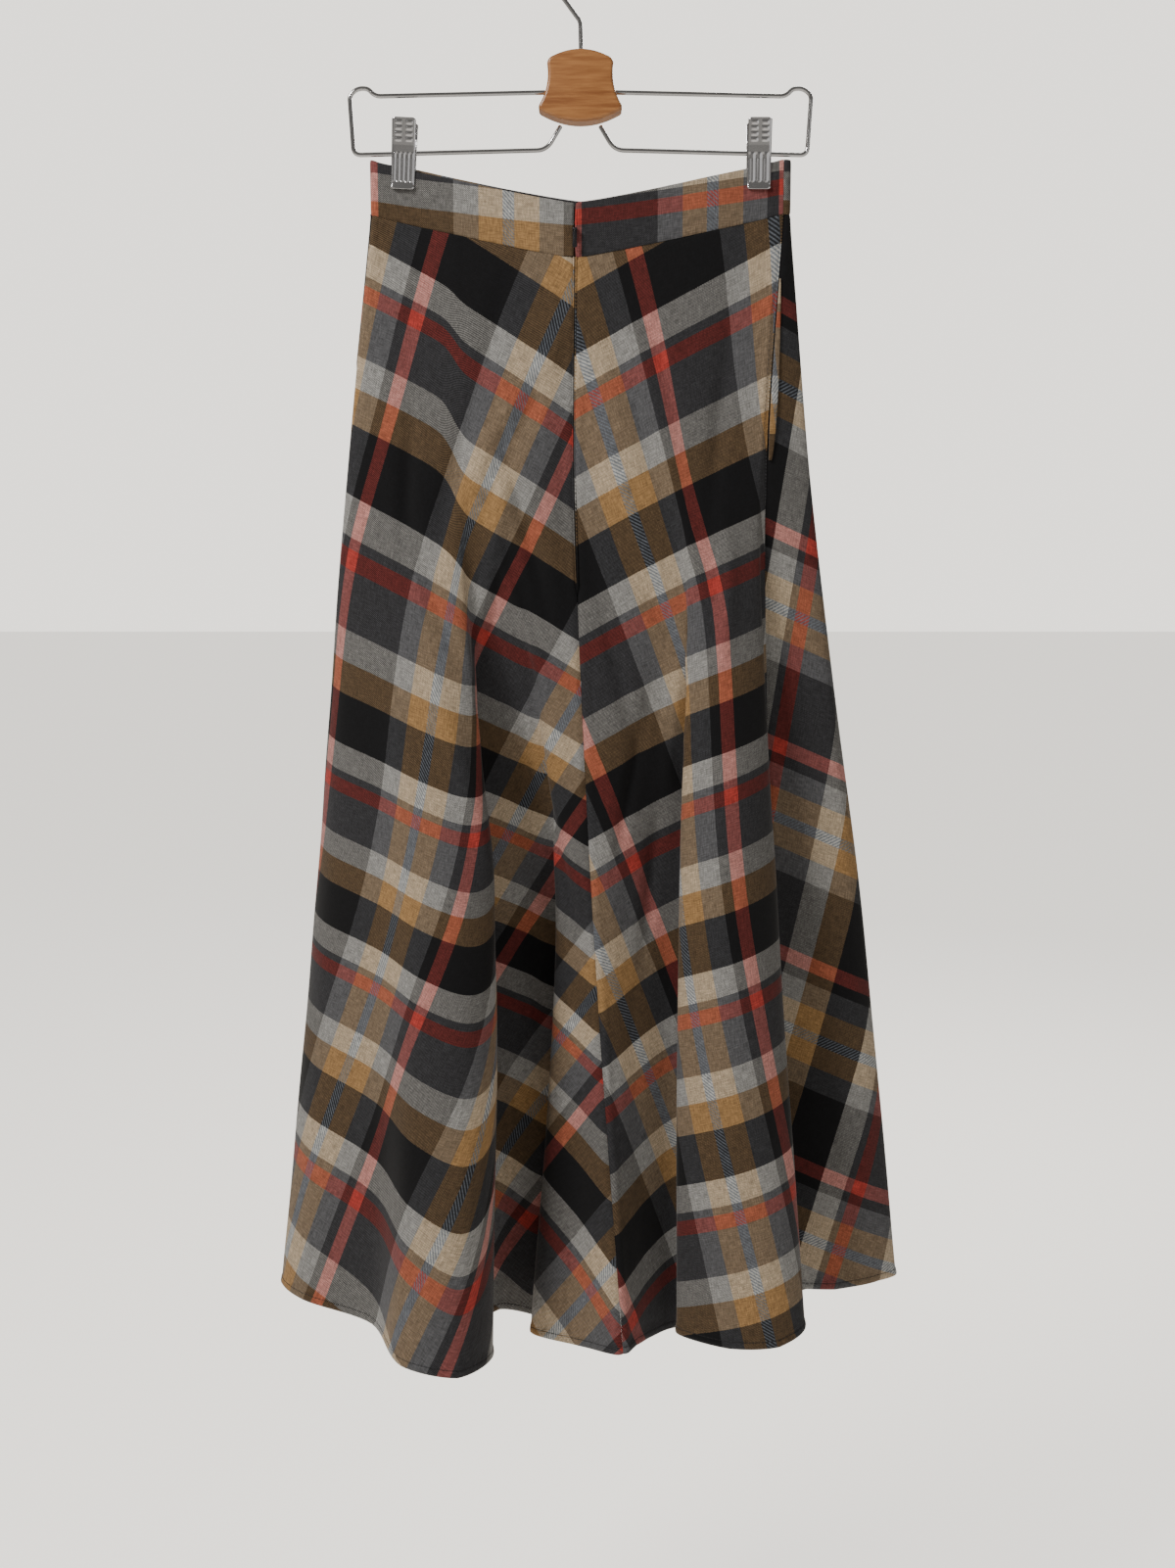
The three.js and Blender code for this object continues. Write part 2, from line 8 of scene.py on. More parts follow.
import bmesh
import bpy
import numpy as np
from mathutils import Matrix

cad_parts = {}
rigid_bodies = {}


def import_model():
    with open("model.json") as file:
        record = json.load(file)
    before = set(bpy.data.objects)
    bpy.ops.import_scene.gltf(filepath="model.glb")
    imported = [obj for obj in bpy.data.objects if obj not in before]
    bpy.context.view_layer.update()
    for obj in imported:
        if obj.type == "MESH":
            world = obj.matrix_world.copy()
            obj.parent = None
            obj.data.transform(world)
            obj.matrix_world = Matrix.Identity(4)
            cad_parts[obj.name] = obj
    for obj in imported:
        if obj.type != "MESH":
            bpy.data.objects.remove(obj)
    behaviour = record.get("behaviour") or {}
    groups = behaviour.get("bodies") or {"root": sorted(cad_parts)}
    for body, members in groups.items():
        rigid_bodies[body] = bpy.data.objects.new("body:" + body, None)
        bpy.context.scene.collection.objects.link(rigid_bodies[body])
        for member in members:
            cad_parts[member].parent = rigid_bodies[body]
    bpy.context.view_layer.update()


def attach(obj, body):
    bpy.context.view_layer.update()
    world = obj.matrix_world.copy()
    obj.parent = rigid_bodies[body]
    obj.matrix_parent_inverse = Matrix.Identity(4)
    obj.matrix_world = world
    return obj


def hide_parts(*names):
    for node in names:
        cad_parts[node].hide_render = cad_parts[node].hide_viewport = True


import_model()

logging.basicConfig(level=logging.INFO, format="%(message)s")
log = logging.getLogger("skirt")

MM = 0.001
BODY = "skirt"
PULL_BODY = "pull_tab"
CLOTH_UV = "Cloth"


# Fold lines of the skirt in millimetres, in order round the cloth from its centre back: the place [x, y]
# at the waist, hip, knee and hem sections, and the fall of the hem below the level of the centre back
FOLDS = [
    ("centreBack", (-4.5, -10), (-4.8, -9), (10.6, -14), (36, -38), -12),
    ("leftRamp", (-25, -9.5), (-26, -13), (-6, -6), (0, -14), -4),
    ("leftRampEdge", (-42, -8.5), (-44, -14), (-21.6, 8), (-44, 14), 0),
    ("underRamp", (-56, -8), (-58, -14.5), (-16, 20), (-34, 32), 0),
    ("valleyRight", (-68, -7.5), (-70, -14.5), (-34, 24), (-52, 42), 0),
    ("valleyLeft", (-80, -7), (-82, -15), (-58, 22), (-74, 42), 0),
    ("underLeft", (-90, -6.5), (-92, -15), (-84, 0), (-92, 8), 4),
    ("leftFoldEdge", (-100, -6), (-102, -15.5), (-71.5, -38), (-75.5, -44), 6),
    ("leftFoldCrest", (-112, -4.2), (-115, -15), (-94, -54), (-102, -78), 10),
    ("leftStepTop", (-129, -1.8), (-138, -12.5), (-130, -50), (-150, -68), 8),
    ("leftStepFoot", (-152, -1.7), (-162, -9), (-165, -26), (-180, -20), 0),
    ("leftTurn", (-164.2, -1.7), (-184, -3), (-214, 2), (-250, 14), -6),
    ("sideLeft", (-166.8, 0), (-191, 5), (-226, 28), (-268, 42), -8),
    ("frontLeft1", (-164.2, 1.7), (-180, 13), (-212, 40), (-250, 60), -4),
    ("frontLeft2", (-130, 1.8), (-150, 12), (-176, 18), (-205, 26), 0),
    ("frontLeft3", (-106, 3.5), (-118, 14), (-146, 38), (-160, 60), 2),
    ("frontLeft4", (-80, 5), (-88, 13), (-112, 12), (-122, 4), 4),
    ("frontLeft5", (-54, 6.5), (-60, 14), (-82, 40), (-92, 62), 2),
    ("frontLeft6", (-27, 7.5), (-30, 14.5), (-42, 37), (-44, 60), 0),
    ("centreFront", (0, 8), (0, 14), (0, 34), (2, 54), -4),
    ("frontRight1", (27, 7.5), (30, 14.5), (38, 38), (44, 62), 0),
    ("frontRight2", (54, 6.5), (60, 14), (80, 34), (90, 50), 2),
    ("frontRight3", (80, 5), (90, 14), (120, 40), (134, 62), 4),
    ("frontRight4", (106, 3.5), (120, 14), (160, 38), (178, 54), 2),
    ("frontRight5", (130, 1.8), (148, 13.5), (198, 44), (226, 64), 0),
    ("rightTurn", (164.4, 1.7), (184, 11), (240, 36), (286, 57), -6),
    ("rightFace", (166.8, 0.2), (187, 3), (231, 26), (268, 43), -6),
    ("rightFace2", (164.8, -1.6), (172, -3), (200, 24), (228, 38), 0),
    ("sideRight", (161.8, -1.7), (150.4, -7), (163, 24), (176, 38), 0),
    ("rightReturn", (158, -1.5), (147, -8.5), (149, 13), (152, 22), 0),
    ("rightFoldEdge", (152, -1.6), (143, -10.5), (163.7, -13), (192, -30), 0),
    ("rightCrestRight", (130, -1.8), (130, -13), (148, -33), (168, -48), 4),
    ("rightCrestLeft", (116, -4), (112, -15), (116, -42), (126, -44), 4),
    ("rightFoldLeft", (98, -6), (92, -15.5), (82, -18), (83, -14), 0),
    ("pleatInner", (86, -6.7), (80, -15), (116, 0), (136, -3), 0),
    ("recess", (70, -7.5), (64, -14.5), (74, 9), (84, 8), 0),
    ("recessNear", (48, -8.5), (46, -13), (44, -2), (62, -8), -4),
    ("narrowFold", (22, -9.5), (20, -11), (24, -12), (48, -26), -10),
]
SECTION_AT = (0.0, 0.22, 0.6, 1.0)


class Centre(Enum):
    """Which centre seam a panel starts from, and which way it runs from there, seen from outside."""

    BACK_LEFT = ("centreBack", "sideLeft", -1)
    BACK_RIGHT = ("centreBack", "sideRight", 1)
    FRONT_LEFT = ("centreFront", "sideLeft", 1)
    FRONT_RIGHT = ("centreFront", "sideRight", -1)


@dataclass(frozen=True)
class Crease:
    """A soft trough or ridge, placed on a panel.

    across and down are millimetres from the centre seam and the waist seam, and height is
    positive for a ridge. lean is how far its lower end moves outwards for each millimetre down.
    """

    across: float
    down: float
    length: float
    width: float
    height: float
    lean: float = 0.0


@dataclass(frozen=True)
class Tuck:
    """Cloth taken in at a fold, at the waist, hip, knee and hem, across the plaid and down it."""

    line: str
    reach: float
    across: tuple[float, ...]
    along: tuple[float, ...] = (0, 0, 0, 0)


@dataclass(frozen=True)
class Cut:
    """How a panel lies on the flat plaid before it is sewn, at the waist, hip, knee and hem.

    start is where the top of the centre seam lies, across and down the plaid. The other fields say
    how far the place on the flat plaid moves for each millimetre on the hanging cloth: drift and fall
    for each one down the centre seam, pass_seam and pass_side across the columns for each level one
    beside either seam, and cross_seam and cross_side down the rows for the same. tucks are folds that
    take in more cloth than they show, and a turned panel is cut with its rows upright.
    """

    start: tuple[float, float]
    drift: tuple[float, ...]
    fall: tuple[float, ...]
    pass_seam: tuple[float, ...]
    pass_side: tuple[float, ...]
    cross_seam: tuple[float, ...]
    cross_side: tuple[float, ...]
    tucks: tuple[Tuck, ...] = ()
    turned: bool = False


def through_sections(values: np.ndarray, t: np.ndarray) -> np.ndarray:
    """Runs a smooth curve through values at the four sections.

    Args:
        values: one row of numbers for each section.
        t: shares of the skirt's length.

    Returns:
        One row of numbers for each share.
    """
    at = np.array(SECTION_AT)
    values = np.asarray(values, dtype=float)
    last = len(at) - 1
    slopes = np.array([
        (values[min(k + 1, last)] - values[max(k - 1, 0)]) / (at[min(k + 1, last)] - at[max(k - 1, 0)])
        for k in range(last + 1)
    ])
    t = np.atleast_1d(t)
    i = np.clip(np.searchsorted(at, t, side="right") - 1, 0, last - 1)
    span = at[i + 1] - at[i]
    s = (t - at[i]) / span
    shape = (-1,) + (1,) * (values.ndim - 1)
    s = s.reshape(shape)
    span = span.reshape(shape)
    return (
        (2 * s**3 - 3 * s**2 + 1) * values[i]
        + (s**3 - 2 * s**2 + s) * span * slopes[i]
        + (3 * s**2 - 2 * s**3) * values[i + 1]
        + (s**3 - s**2) * span * slopes[i + 1]
    )


@dataclass
class SkirtForm:
    """The hanging form of the cloth, in millimetres."""

    length: float = 922.0
    half_waist: float = 165.0
    waist_z: float = -200.0
    back_dip: float = 35.0
    front_dip: float = 30.0
    dip_power: float = 1.15
    zip_x: float = -4.5

    def index(self, line: str) -> int:
        """Gives the number of a fold line."""
        return [row[0] for row in FOLDS].index(line)

    def waist_height(self, x: np.ndarray, y: np.ndarray) -> np.ndarray:
        """Finds the height of the waist seam.

        Args:
            x: places across the waist section.
            y: depths of those places, negative at the back.

        Returns:
            Heights of the seam.
        """
        dip = np.where(y < 0, self.back_dip, self.front_dip)
        middle = np.where(y < 0, self.zip_x, 0.0)
        away = np.minimum(np.abs(x - middle) / self.half_waist, 1.0)
        return self.waist_z - dip * (1 - away**self.dip_power)

    def points(self, t: np.ndarray, places: np.ndarray) -> np.ndarray:
        """Places the cloth's middle surface.

        Args:
            t: shares of the skirt's length, one for each row.
            places: numbers of fold lines round the skirt, whole on the lines themselves.

        Returns:
            An array of rows by places by three.
        """
        table = np.array([row[1:5] for row in FOLDS], dtype=float)
        nodes = through_sections(table.transpose(1, 0, 2), t)
        count = len(FOLDS)
        here = np.floor(places).astype(int)
        share = places - here
        p = [nodes[:, (here + k) % count] for k in (-1, 0, 1, 2)]
        gap = [np.maximum(np.linalg.norm(p[k + 1] - p[k], axis=2), 1e-6) ** 0.5 for k in range(3)]
        gap = [g[..., None] for g in gap]
        first = (p[1] - p[0]) / gap[0] - (p[2] - p[0]) / (gap[0] + gap[1]) + (p[2] - p[1]) / gap[1]
        last = (p[2] - p[1]) / gap[1] - (p[3] - p[1]) / (gap[1] + gap[2]) + (p[3] - p[2]) / gap[2]
        first = first * gap[1]
        last = last * gap[1]
        w = share[None, :, None]
        level = (
            p[1]
            + first * w
            + (3 * (p[2] - p[1]) - 2 * first - last) * w**2
            + (2 * (p[1] - p[2]) + first + last) * w**3
        )
        waist = table[:, 0]
        drops = np.array([row[5] for row in FOLDS], dtype=float)

        def between(values: np.ndarray) -> np.ndarray:
            """Mixes the values of the fold lines on either side of each place."""
            return values[here % count] * (1 - share) + values[(here + 1) % count] * share

        top = self.waist_height(between(waist[:, 0]), between(waist[:, 1]))
        z = top[None, :] - t[:, None] * self.length - between(drops)[None, :] * t[:, None] ** 2
        return np.concatenate([level, z[..., None]], axis=2)


def add_object(name: str, data: bpy.types.ID) -> bpy.types.Object:
    """Adds an object to the scene.

    Args:
        name: the object's name.
        data: its mesh, lamp or camera.

    Returns:
        The new object.
    """
    thing = bpy.data.objects.new(name, data)
    bpy.context.scene.collection.objects.link(thing)
    return thing


def mesh_piece(name: str, verts: np.ndarray, faces: list, body: str) -> bpy.types.Object:
    """Makes a smooth mesh object that faces out.

    Args:
        name: the piece's name.
        verts: points in millimetres, one row each.
        faces: lists of point numbers.
        body: the body that the piece rides on.

    Returns:
        The new object.
    """
    mesh = bpy.data.meshes.new(name)
    mesh.from_pydata((np.asarray(verts, dtype=float) * MM).tolist(), [], faces)
    mesh.validate()
    mesh.polygons.foreach_set("use_smooth", [True] * len(mesh.polygons))
    piece = add_object(name, mesh)
    fix_facing(piece)
    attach(piece, body)
    return piece


def bell(distance: np.ndarray, at: float, width: float) -> np.ndarray:
    """Gives a smooth hump of height one at a distance, which fades over a width."""
    return np.exp(-(((distance - at) / width) ** 2))


def arc_lengths(line: np.ndarray) -> np.ndarray:
    """Measures how far along a line each of its points lies."""
    return np.concatenate([[0], np.cumsum(np.linalg.norm(np.diff(line, axis=0), axis=1))])


def bent(start: np.ndarray, middle: np.ndarray, end: np.ndarray, shares: np.ndarray) -> list:
    """Lists the points at shares of a curve that starts and ends on points and leans to a middle one."""
    return [(1 - s) ** 2 * start + 2 * s * (1 - s) * middle + s**2 * end for s in shares]


def outside_normals(points: np.ndarray, at_back: bool) -> np.ndarray:
    """Finds the unit normals of a grid of cloth, to the skirt's outside.

    Args:
        points: rows by columns by three.
        at_back: whether the piece is on the skirt's back.

    Returns:
        Unit normals, in the grid's shape.
    """
    normal = np.cross(np.gradient(points, axis=1), np.gradient(points, axis=0))
    normal /= np.maximum(np.linalg.norm(normal, axis=2, keepdims=True), 1e-12)
    faces_back = normal[0, :, 1].mean() < 0
    return normal if faces_back == at_back else -normal


def shell_faces(rows: int, columns: int) -> list:
    """Lists the faces of a closed sheet made of an outer and an inner grid.

    Args:
        rows: rows in each grid.
        columns: columns in each grid.

    Returns:
        Lists of four point numbers, outer grid first.
    """
    top = np.arange(rows * columns).reshape(rows, columns)
    under = top + rows * columns
    quads = [
        (top[:-1, :-1], top[:-1, 1:], top[1:, 1:], top[1:, :-1]),
        (under[:-1, :-1], under[1:, :-1], under[1:, 1:], under[:-1, 1:]),
        (top[0, :-1], under[0, :-1], under[0, 1:], top[0, 1:]),
        (top[-1, :-1], top[-1, 1:], under[-1, 1:], under[-1, :-1]),
        (top[:-1, 0], top[1:, 0], under[1:, 0], under[:-1, 0]),
        (top[:-1, -1], under[:-1, -1], under[1:, -1], top[1:, -1]),
    ]
    return [face for quad in quads for face in np.stack(quad, axis=-1).reshape(-1, 4).tolist()]


def cloth_shell(
    name: str, middle: np.ndarray, normal: np.ndarray, thick: np.ndarray, uv: np.ndarray
) -> bpy.types.Object:
    """Makes a thin closed sheet of cloth round a grid.

    Args:
        name: the piece's name.
        middle: grid of middle points, in millimetres.
        normal: unit normals to the cloth's outside.
        thick: thickness at each point, in millimetres.
        uv: place of each point on the flat plaid, in millimetres.

    Returns:
        The sheet, with its plaid map.
    """
    rows, columns = middle.shape[:2]
    half = np.broadcast_to(thick, (rows, columns))[..., None] / 2
    outer, inner = middle + normal * half, middle - normal * half
    verts = np.concatenate([outer.reshape(-1, 3), inner.reshape(-1, 3)])
    piece = mesh_piece(name, verts, shell_faces(rows, columns), BODY)
    layer = piece.data.uv_layers.new(name=CLOTH_UV)
    flat = np.concatenate([uv.reshape(-1, 2), uv.reshape(-1, 2)]) * MM
    loops = np.empty(len(piece.data.loops), dtype=np.int32)
    piece.data.loops.foreach_get("vertex_index", loops)
    layer.data.foreach_set("uv", flat[loops].astype(np.float32).ravel())
    return piece


def fix_facing(piece: bpy.types.Object) -> None:
    """Turns a closed piece's faces outwards where its volume comes out negative.

    Args:
        piece: the piece, whose mesh is changed.
    """
    mesh = bmesh.new()
    mesh.from_mesh(piece.data)
    if mesh.calc_volume(signed=True) < 0:
        bmesh.ops.reverse_faces(mesh, faces=mesh.faces)
        mesh.to_mesh(piece.data)
    mesh.free()


class Nodes:
    """A small helper that adds and joins shader nodes in one tree."""

    def __init__(self, tree: bpy.types.NodeTree) -> None:
        """Keeps the tree that the nodes go in."""
        self.tree = tree

    def add(self, kind: str, **settings: object) -> bpy.types.Node:
        """Adds a node.

        Args:
            kind: the node's type name.
            **settings: properties to set on it.

        Returns:
            The node.
        """
        node = self.tree.nodes.new(kind)
        for key, value in settings.items():
            setattr(node, key, value)
        return node

    def join(self, source: object, target: object) -> None:
        """Links an output socket to an input socket, or sets a plain value on it.

        Args:
            source: an output socket or a plain value.
            target: the input socket.
        """
        if isinstance(source, bpy.types.NodeSocket):
            self.tree.links.new(source, target)
        else:
            target.default_value = source

    def math(
        self, operation: str, first: object, second: object = 0.0, third: object = 0.0
    ) -> bpy.types.NodeSocket:
        """Adds a math node.

        Args:
            operation: the node's operation.
            first: first value or socket.
            second: second value or socket.
            third: third value or socket.

        Returns:
            Its output.
        """
        node = self.add("ShaderNodeMath", operation=operation)
        for k, value in enumerate((first, second, third)):
            self.join(value, node.inputs[k])
        return node.outputs[0]

    def mix(self, share: object, first: object, second: object, blend: str = "MIX") -> bpy.types.NodeSocket:
        """Adds a colour mix.

        Args:
            share: factor value or socket.
            first: first colour or socket.
            second: second colour or socket.
            blend: the blend type.

        Returns:
            The mixed colour.
        """
        node = self.add("ShaderNodeMix", data_type="RGBA", blend_type=blend)
        self.join(share, node.inputs[0])
        self.join(first, node.inputs[6])
        self.join(second, node.inputs[7])
        return node.outputs[2]

    def noise(
        self, vector: object, scale: float, detail: float = 3.0, roughness: float = 0.5
    ) -> bpy.types.NodeSocket:
        """Adds a noise texture.

        Args:
            vector: coordinates socket.
            scale: noise scale.
            detail: octaves.
            roughness: roughness of the octaves.

        Returns:
            The noise value.
        """
        node = self.add("ShaderNodeTexNoise")
        self.join(vector, node.inputs["Vector"])
        node.inputs["Scale"].default_value = scale
        node.inputs["Detail"].default_value = detail
        node.inputs["Roughness"].default_value = roughness
        return node.outputs[0]

    def stretched(self, vector: object, scale: tuple[float, float, float]) -> bpy.types.NodeSocket:
        """Stretches coordinates.

        Args:
            vector: coordinates socket.
            scale: what each coordinate is multiplied by.

        Returns:
            The stretched coordinates.
        """
        node = self.add("ShaderNodeVectorMath", operation="MULTIPLY")
        self.join(vector, node.inputs[0])
        node.inputs[1].default_value = scale
        return node.outputs[0]

    def shaded(self, colour: object, value: object, reach: float, least: float) -> bpy.types.NodeSocket:
        """Darkens and lightens a colour by a value that changes over the surface.

        Args:
            colour: colour socket.
            value: value socket, from 0 to 1.
            reach: how much brighter the colour is at 1 than at 0.
            least: the colour's share at 0.

        Returns:
            The shaded colour.
        """
        shade = self.math("MULTIPLY_ADD", value, reach, least)
        tint = self.add("ShaderNodeCombineColor")
        for k in range(3):
            self.join(shade, tint.inputs[k])
        return self.mix(1.0, colour, tint.outputs[0], "MULTIPLY")

    def bump(self, height: object, shader: bpy.types.Node, strength: float, distance: float) -> None:
        """Gives a shader its fine relief.

        Args:
            height: height socket.
            shader: the shader.
            strength: the relief's strength.
            distance: the relief's depth, in metres.
        """
        node = self.add("ShaderNodeBump")
        node.inputs["Strength"].default_value = strength
        node.inputs["Distance"].default_value = distance
        self.join(height, node.inputs["Height"])
        self.join(node.outputs[0], shader.inputs["Normal"])

    def glow(self, seen: float, cast: float, strength: bpy.types.NodeSocket) -> None:
        """Sets a light's strength, apart for what is seen of it and for what it casts.

        Args:
            seen: the strength that a direct look shows.
            cast: the strength that lights the rest.
            strength: the input socket that takes it.
        """
        direct = self.add("ShaderNodeLightPath").outputs["Is Camera Ray"]
        self.join(self.math("MULTIPLY_ADD", direct, seen - cast, cast), strength)


def yarn(red: int, green: int, blue: int) -> tuple[float, float, float, float]:
    """Gives a dyed yarn's colour, from its 0 to 255 values, as the cube root of its light."""
    light = [((c / 255 + 0.055) / 1.055) ** 2.4 if c > 10 else c / 255 / 12.92 for c in (red, green, blue)]
    return (*[v ** (1 / 3) for v in light], 1.0)


@dataclass(frozen=True)
class PlaidSett:
    """The order of the plaid's coloured yarns, with widths in millimetres."""

    black: tuple = yarn(14, 14, 17)
    charcoal: tuple = yarn(90, 90, 93)
    grey: tuple = yarn(88, 89, 92)
    cream: tuple = yarn(208, 206, 199)
    tan: tuple = yarn(160, 125, 82)
    red: tuple = yarn(174, 62, 55)
    blue: tuple = yarn(112, 119, 128)

    def warp(self) -> list:
        """Lists the columns' yarns and widths, left to right."""
        return [
            (self.red, 12.5), (self.black, 60), (self.grey, 20), (self.tan, 19.5),
            (self.blue, 9), (self.tan, 20), (self.grey, 19.5), (self.black, 9.5),
        ]

    def weft(self) -> list:
        """Lists the rows' yarns and widths, top to bottom."""
        return [
            (self.cream, 22), (self.charcoal, 7), (self.red, 12), (self.charcoal, 38),
            (self.cream, 22), (self.tan, 24), (self.black, 40),
        ]

    def repeat(self, yarns: list) -> float:
        """Adds up the widths of one repeat, in metres."""
        return sum(width for _, width in yarns) * MM

    def blue_stripe(self) -> tuple[float, float]:
        """Gives where the herringbone blue column starts and ends in a repeat, in metres."""
        start = sum(width for _, width in self.warp()[:4]) * MM
        return start, start + self.warp()[4][1] * MM

    def stripes(self, nodes: Nodes, place: bpy.types.NodeSocket, yarns: list) -> bpy.types.NodeSocket:
        """Colours stripes along one direction.

        Args:
            nodes: the helper of the tree that they go in.
            place: distance across the stripes, in metres.
            yarns: the yarns and widths of one repeat.

        Returns:
            The stripes' colour.
        """
        total = self.repeat(yarns)
        turn = nodes.math("FRACT", nodes.math("DIVIDE", place, total))
        ramp = nodes.add("ShaderNodeValToRGB")
        ramp.color_ramp.interpolation = "CONSTANT"
        start = 0.0
        for k, (colour, width) in enumerate(yarns):
            stop = ramp.color_ramp.elements[k] if k < 2 else ramp.color_ramp.elements.new(start)
            stop.position = start
            stop.color = colour
            start += width * MM / total
        nodes.join(turn, ramp.inputs[0])
        return ramp.outputs[0]


def new_group(name: str, inputs: dict, outputs: dict) -> tuple[bpy.types.NodeTree, Nodes, dict, dict]:
    """Starts a shader node group.

    Args:
        name: the group's name.
        inputs: socket names and types, or (type, default).
        outputs: socket names and types.

    Returns:
        The group, its helper, its input sockets and its output sockets.
    """
    group = bpy.data.node_groups.new(name, "ShaderNodeTree")
    for socket, kind in inputs.items():
        kind, default = kind if isinstance(kind, tuple) else (kind, None)
        made = group.interface.new_socket(name=socket, in_out="INPUT", socket_type=kind)
        if default is not None:
            made.default_value = default
    for socket, kind in outputs.items():
        group.interface.new_socket(name=socket, in_out="OUTPUT", socket_type=kind)
    nodes = Nodes(group)
    entry = nodes.add("NodeGroupInput")
    leave = nodes.add("NodeGroupOutput")
    return (
        group,
        nodes,
        {s: entry.outputs[s] for s in inputs},
        {s: leave.inputs[s] for s in outputs},
    )


@dataclass(frozen=True)
class TwillWeave:
    """The twill's fine structure.

    rib and wander, how far the stripes' edges stray, are in metres. The scales are of noise textures. A
    shade is how far a noise brightens the colour, and the colour's share at its darkest, and fuzz is the
    same for the roughness. The herringbone fields are for the blue column, whose ribs lean the other way.
    """

    rib: float = 0.0015
    contrast: float = 0.24
    wander: float = 0.0006
    wander_scale: float = 900.0
    herringbone_rib: float = 2.1
    herringbone_contrast: float = 0.12
    slub_scales: tuple = ((1150.0, 130.0, 1.0), (130.0, 1150.0, 1.0))
    slub_shade: tuple[float, float] = (0.5, 0.75)
    cloud_scale: float = 14.0
    cloud_shade: tuple[float, float] = (0.09, 0.955)
    pile_scale: float = 2600.0
    pile_share: float = 0.5
    fuzz: tuple[float, float] = (0.2, 0.78)


def plaid_group(sett: PlaidSett, weave: TwillWeave) -> bpy.types.NodeTree:
    """Builds the group that turns a place on the flat cloth into plaid colour and weave height.

    Args:
        sett: the plaid's yarns.
        weave: the fine structure.

    Returns:
        The node group.
    """
    group, nodes, entry, leave = new_group(
        "PlaidTwill",
        {
            "Map": "NodeSocketVector",
            "Rib": ("NodeSocketFloat", weave.rib),
            "Contrast": ("NodeSocketFloat", weave.contrast),
        },
        {"Color": "NodeSocketColor", "Height": "NodeSocketFloat", "Fuzz": "NodeSocketFloat"},
    )
    split = nodes.add("ShaderNodeSeparateXYZ")
    nodes.join(entry["Map"], split.inputs[0])
    u, v = split.outputs[0], split.outputs[1]
    wander = nodes.noise(entry["Map"], weave.wander_scale, detail=1.0)
    soft = nodes.math("MULTIPLY_ADD", wander, weave.wander, -weave.wander / 2)
    warp = sett.stripes(nodes, nodes.math("ADD", u, soft), sett.warp())
    weft = sett.stripes(nodes, nodes.math("ADD", v, soft), sett.weft())
    diagonal = nodes.math("DIVIDE", nodes.math("ADD", u, v), entry["Rib"])
    repeat = sett.repeat(sett.warp())
    turn = nodes.math("MULTIPLY", nodes.math("FRACT", nodes.math("DIVIDE", u, repeat)), repeat)
    blue_start, blue_end = sett.blue_stripe()
    in_blue = nodes.math("MULTIPLY", nodes.math("GREATER_THAN", turn, blue_start),
                         nodes.math("LESS_THAN", turn, blue_end))
    other_way = nodes.math("DIVIDE", nodes.math("SUBTRACT", u, v),
                           nodes.math("MULTIPLY", entry["Rib"], weave.herringbone_rib))
    lean = nodes.add("ShaderNodeMix", data_type="FLOAT")
    nodes.join(in_blue, lean.inputs[0])
    nodes.join(diagonal, lean.inputs[2])
    nodes.join(other_way, lean.inputs[3])
    rib = nodes.math("SINE", nodes.math("MULTIPLY", lean.outputs[0], 2 * math.pi))
    extra = nodes.math("MULTIPLY", in_blue, weave.herringbone_contrast)
    over = nodes.math("MULTIPLY_ADD", rib, nodes.math("ADD", entry["Contrast"], extra), 0.5)
    colour = nodes.mix(over, warp, weft)
    for scale in weave.slub_scales:
        slub = nodes.noise(nodes.stretched(entry["Map"], scale), 1.0, detail=2.0, roughness=0.6)
        colour = nodes.shaded(colour, slub, *weave.slub_shade)
    cloud = nodes.noise(entry["Map"], weave.cloud_scale, detail=4.0, roughness=0.6)
    colour = nodes.shaded(colour, cloud, *weave.cloud_shade)
    squared = nodes.mix(1.0, colour, colour, "MULTIPLY")
    nodes.join(nodes.mix(1.0, squared, colour, "MULTIPLY"), leave["Color"])
    pile = nodes.noise(entry["Map"], weave.pile_scale, detail=2.0, roughness=0.7)
    ribs = nodes.math("MULTIPLY", rib, 1 - weave.pile_share)
    nodes.join(nodes.math("MULTIPLY_ADD", pile, weave.pile_share, ribs), leave["Height"])
    nodes.join(nodes.math("MULTIPLY_ADD", cloud, *weave.fuzz), leave["Fuzz"])
    return group


def wear_group() -> bpy.types.NodeTree:
    """Builds the group that gives hard finishes faint smudges and fine scratches.

    Returns:
        The node group.
    """
    group, nodes, entry, leave = new_group(
        "FaintWear",
        {"Place": "NodeSocketVector", "Base": ("NodeSocketFloat", 0.2), "Amount": ("NodeSocketFloat", 0.1)},
        {"Roughness": "NodeSocketFloat", "Height": "NodeSocketFloat"},
    )
    smudge = nodes.noise(entry["Place"], scale=60.0, detail=4.0, roughness=0.6)
    scratch = nodes.noise(entry["Place"], scale=900.0, detail=2.0, roughness=0.7)
    level = nodes.math("MULTIPLY_ADD", nodes.math("SUBTRACT", smudge, 0.5), entry["Amount"], entry["Base"])
    nodes.join(level, leave["Roughness"])
    nodes.join(nodes.math("MULTIPLY", scratch, 0.3), leave["Height"])
    return group


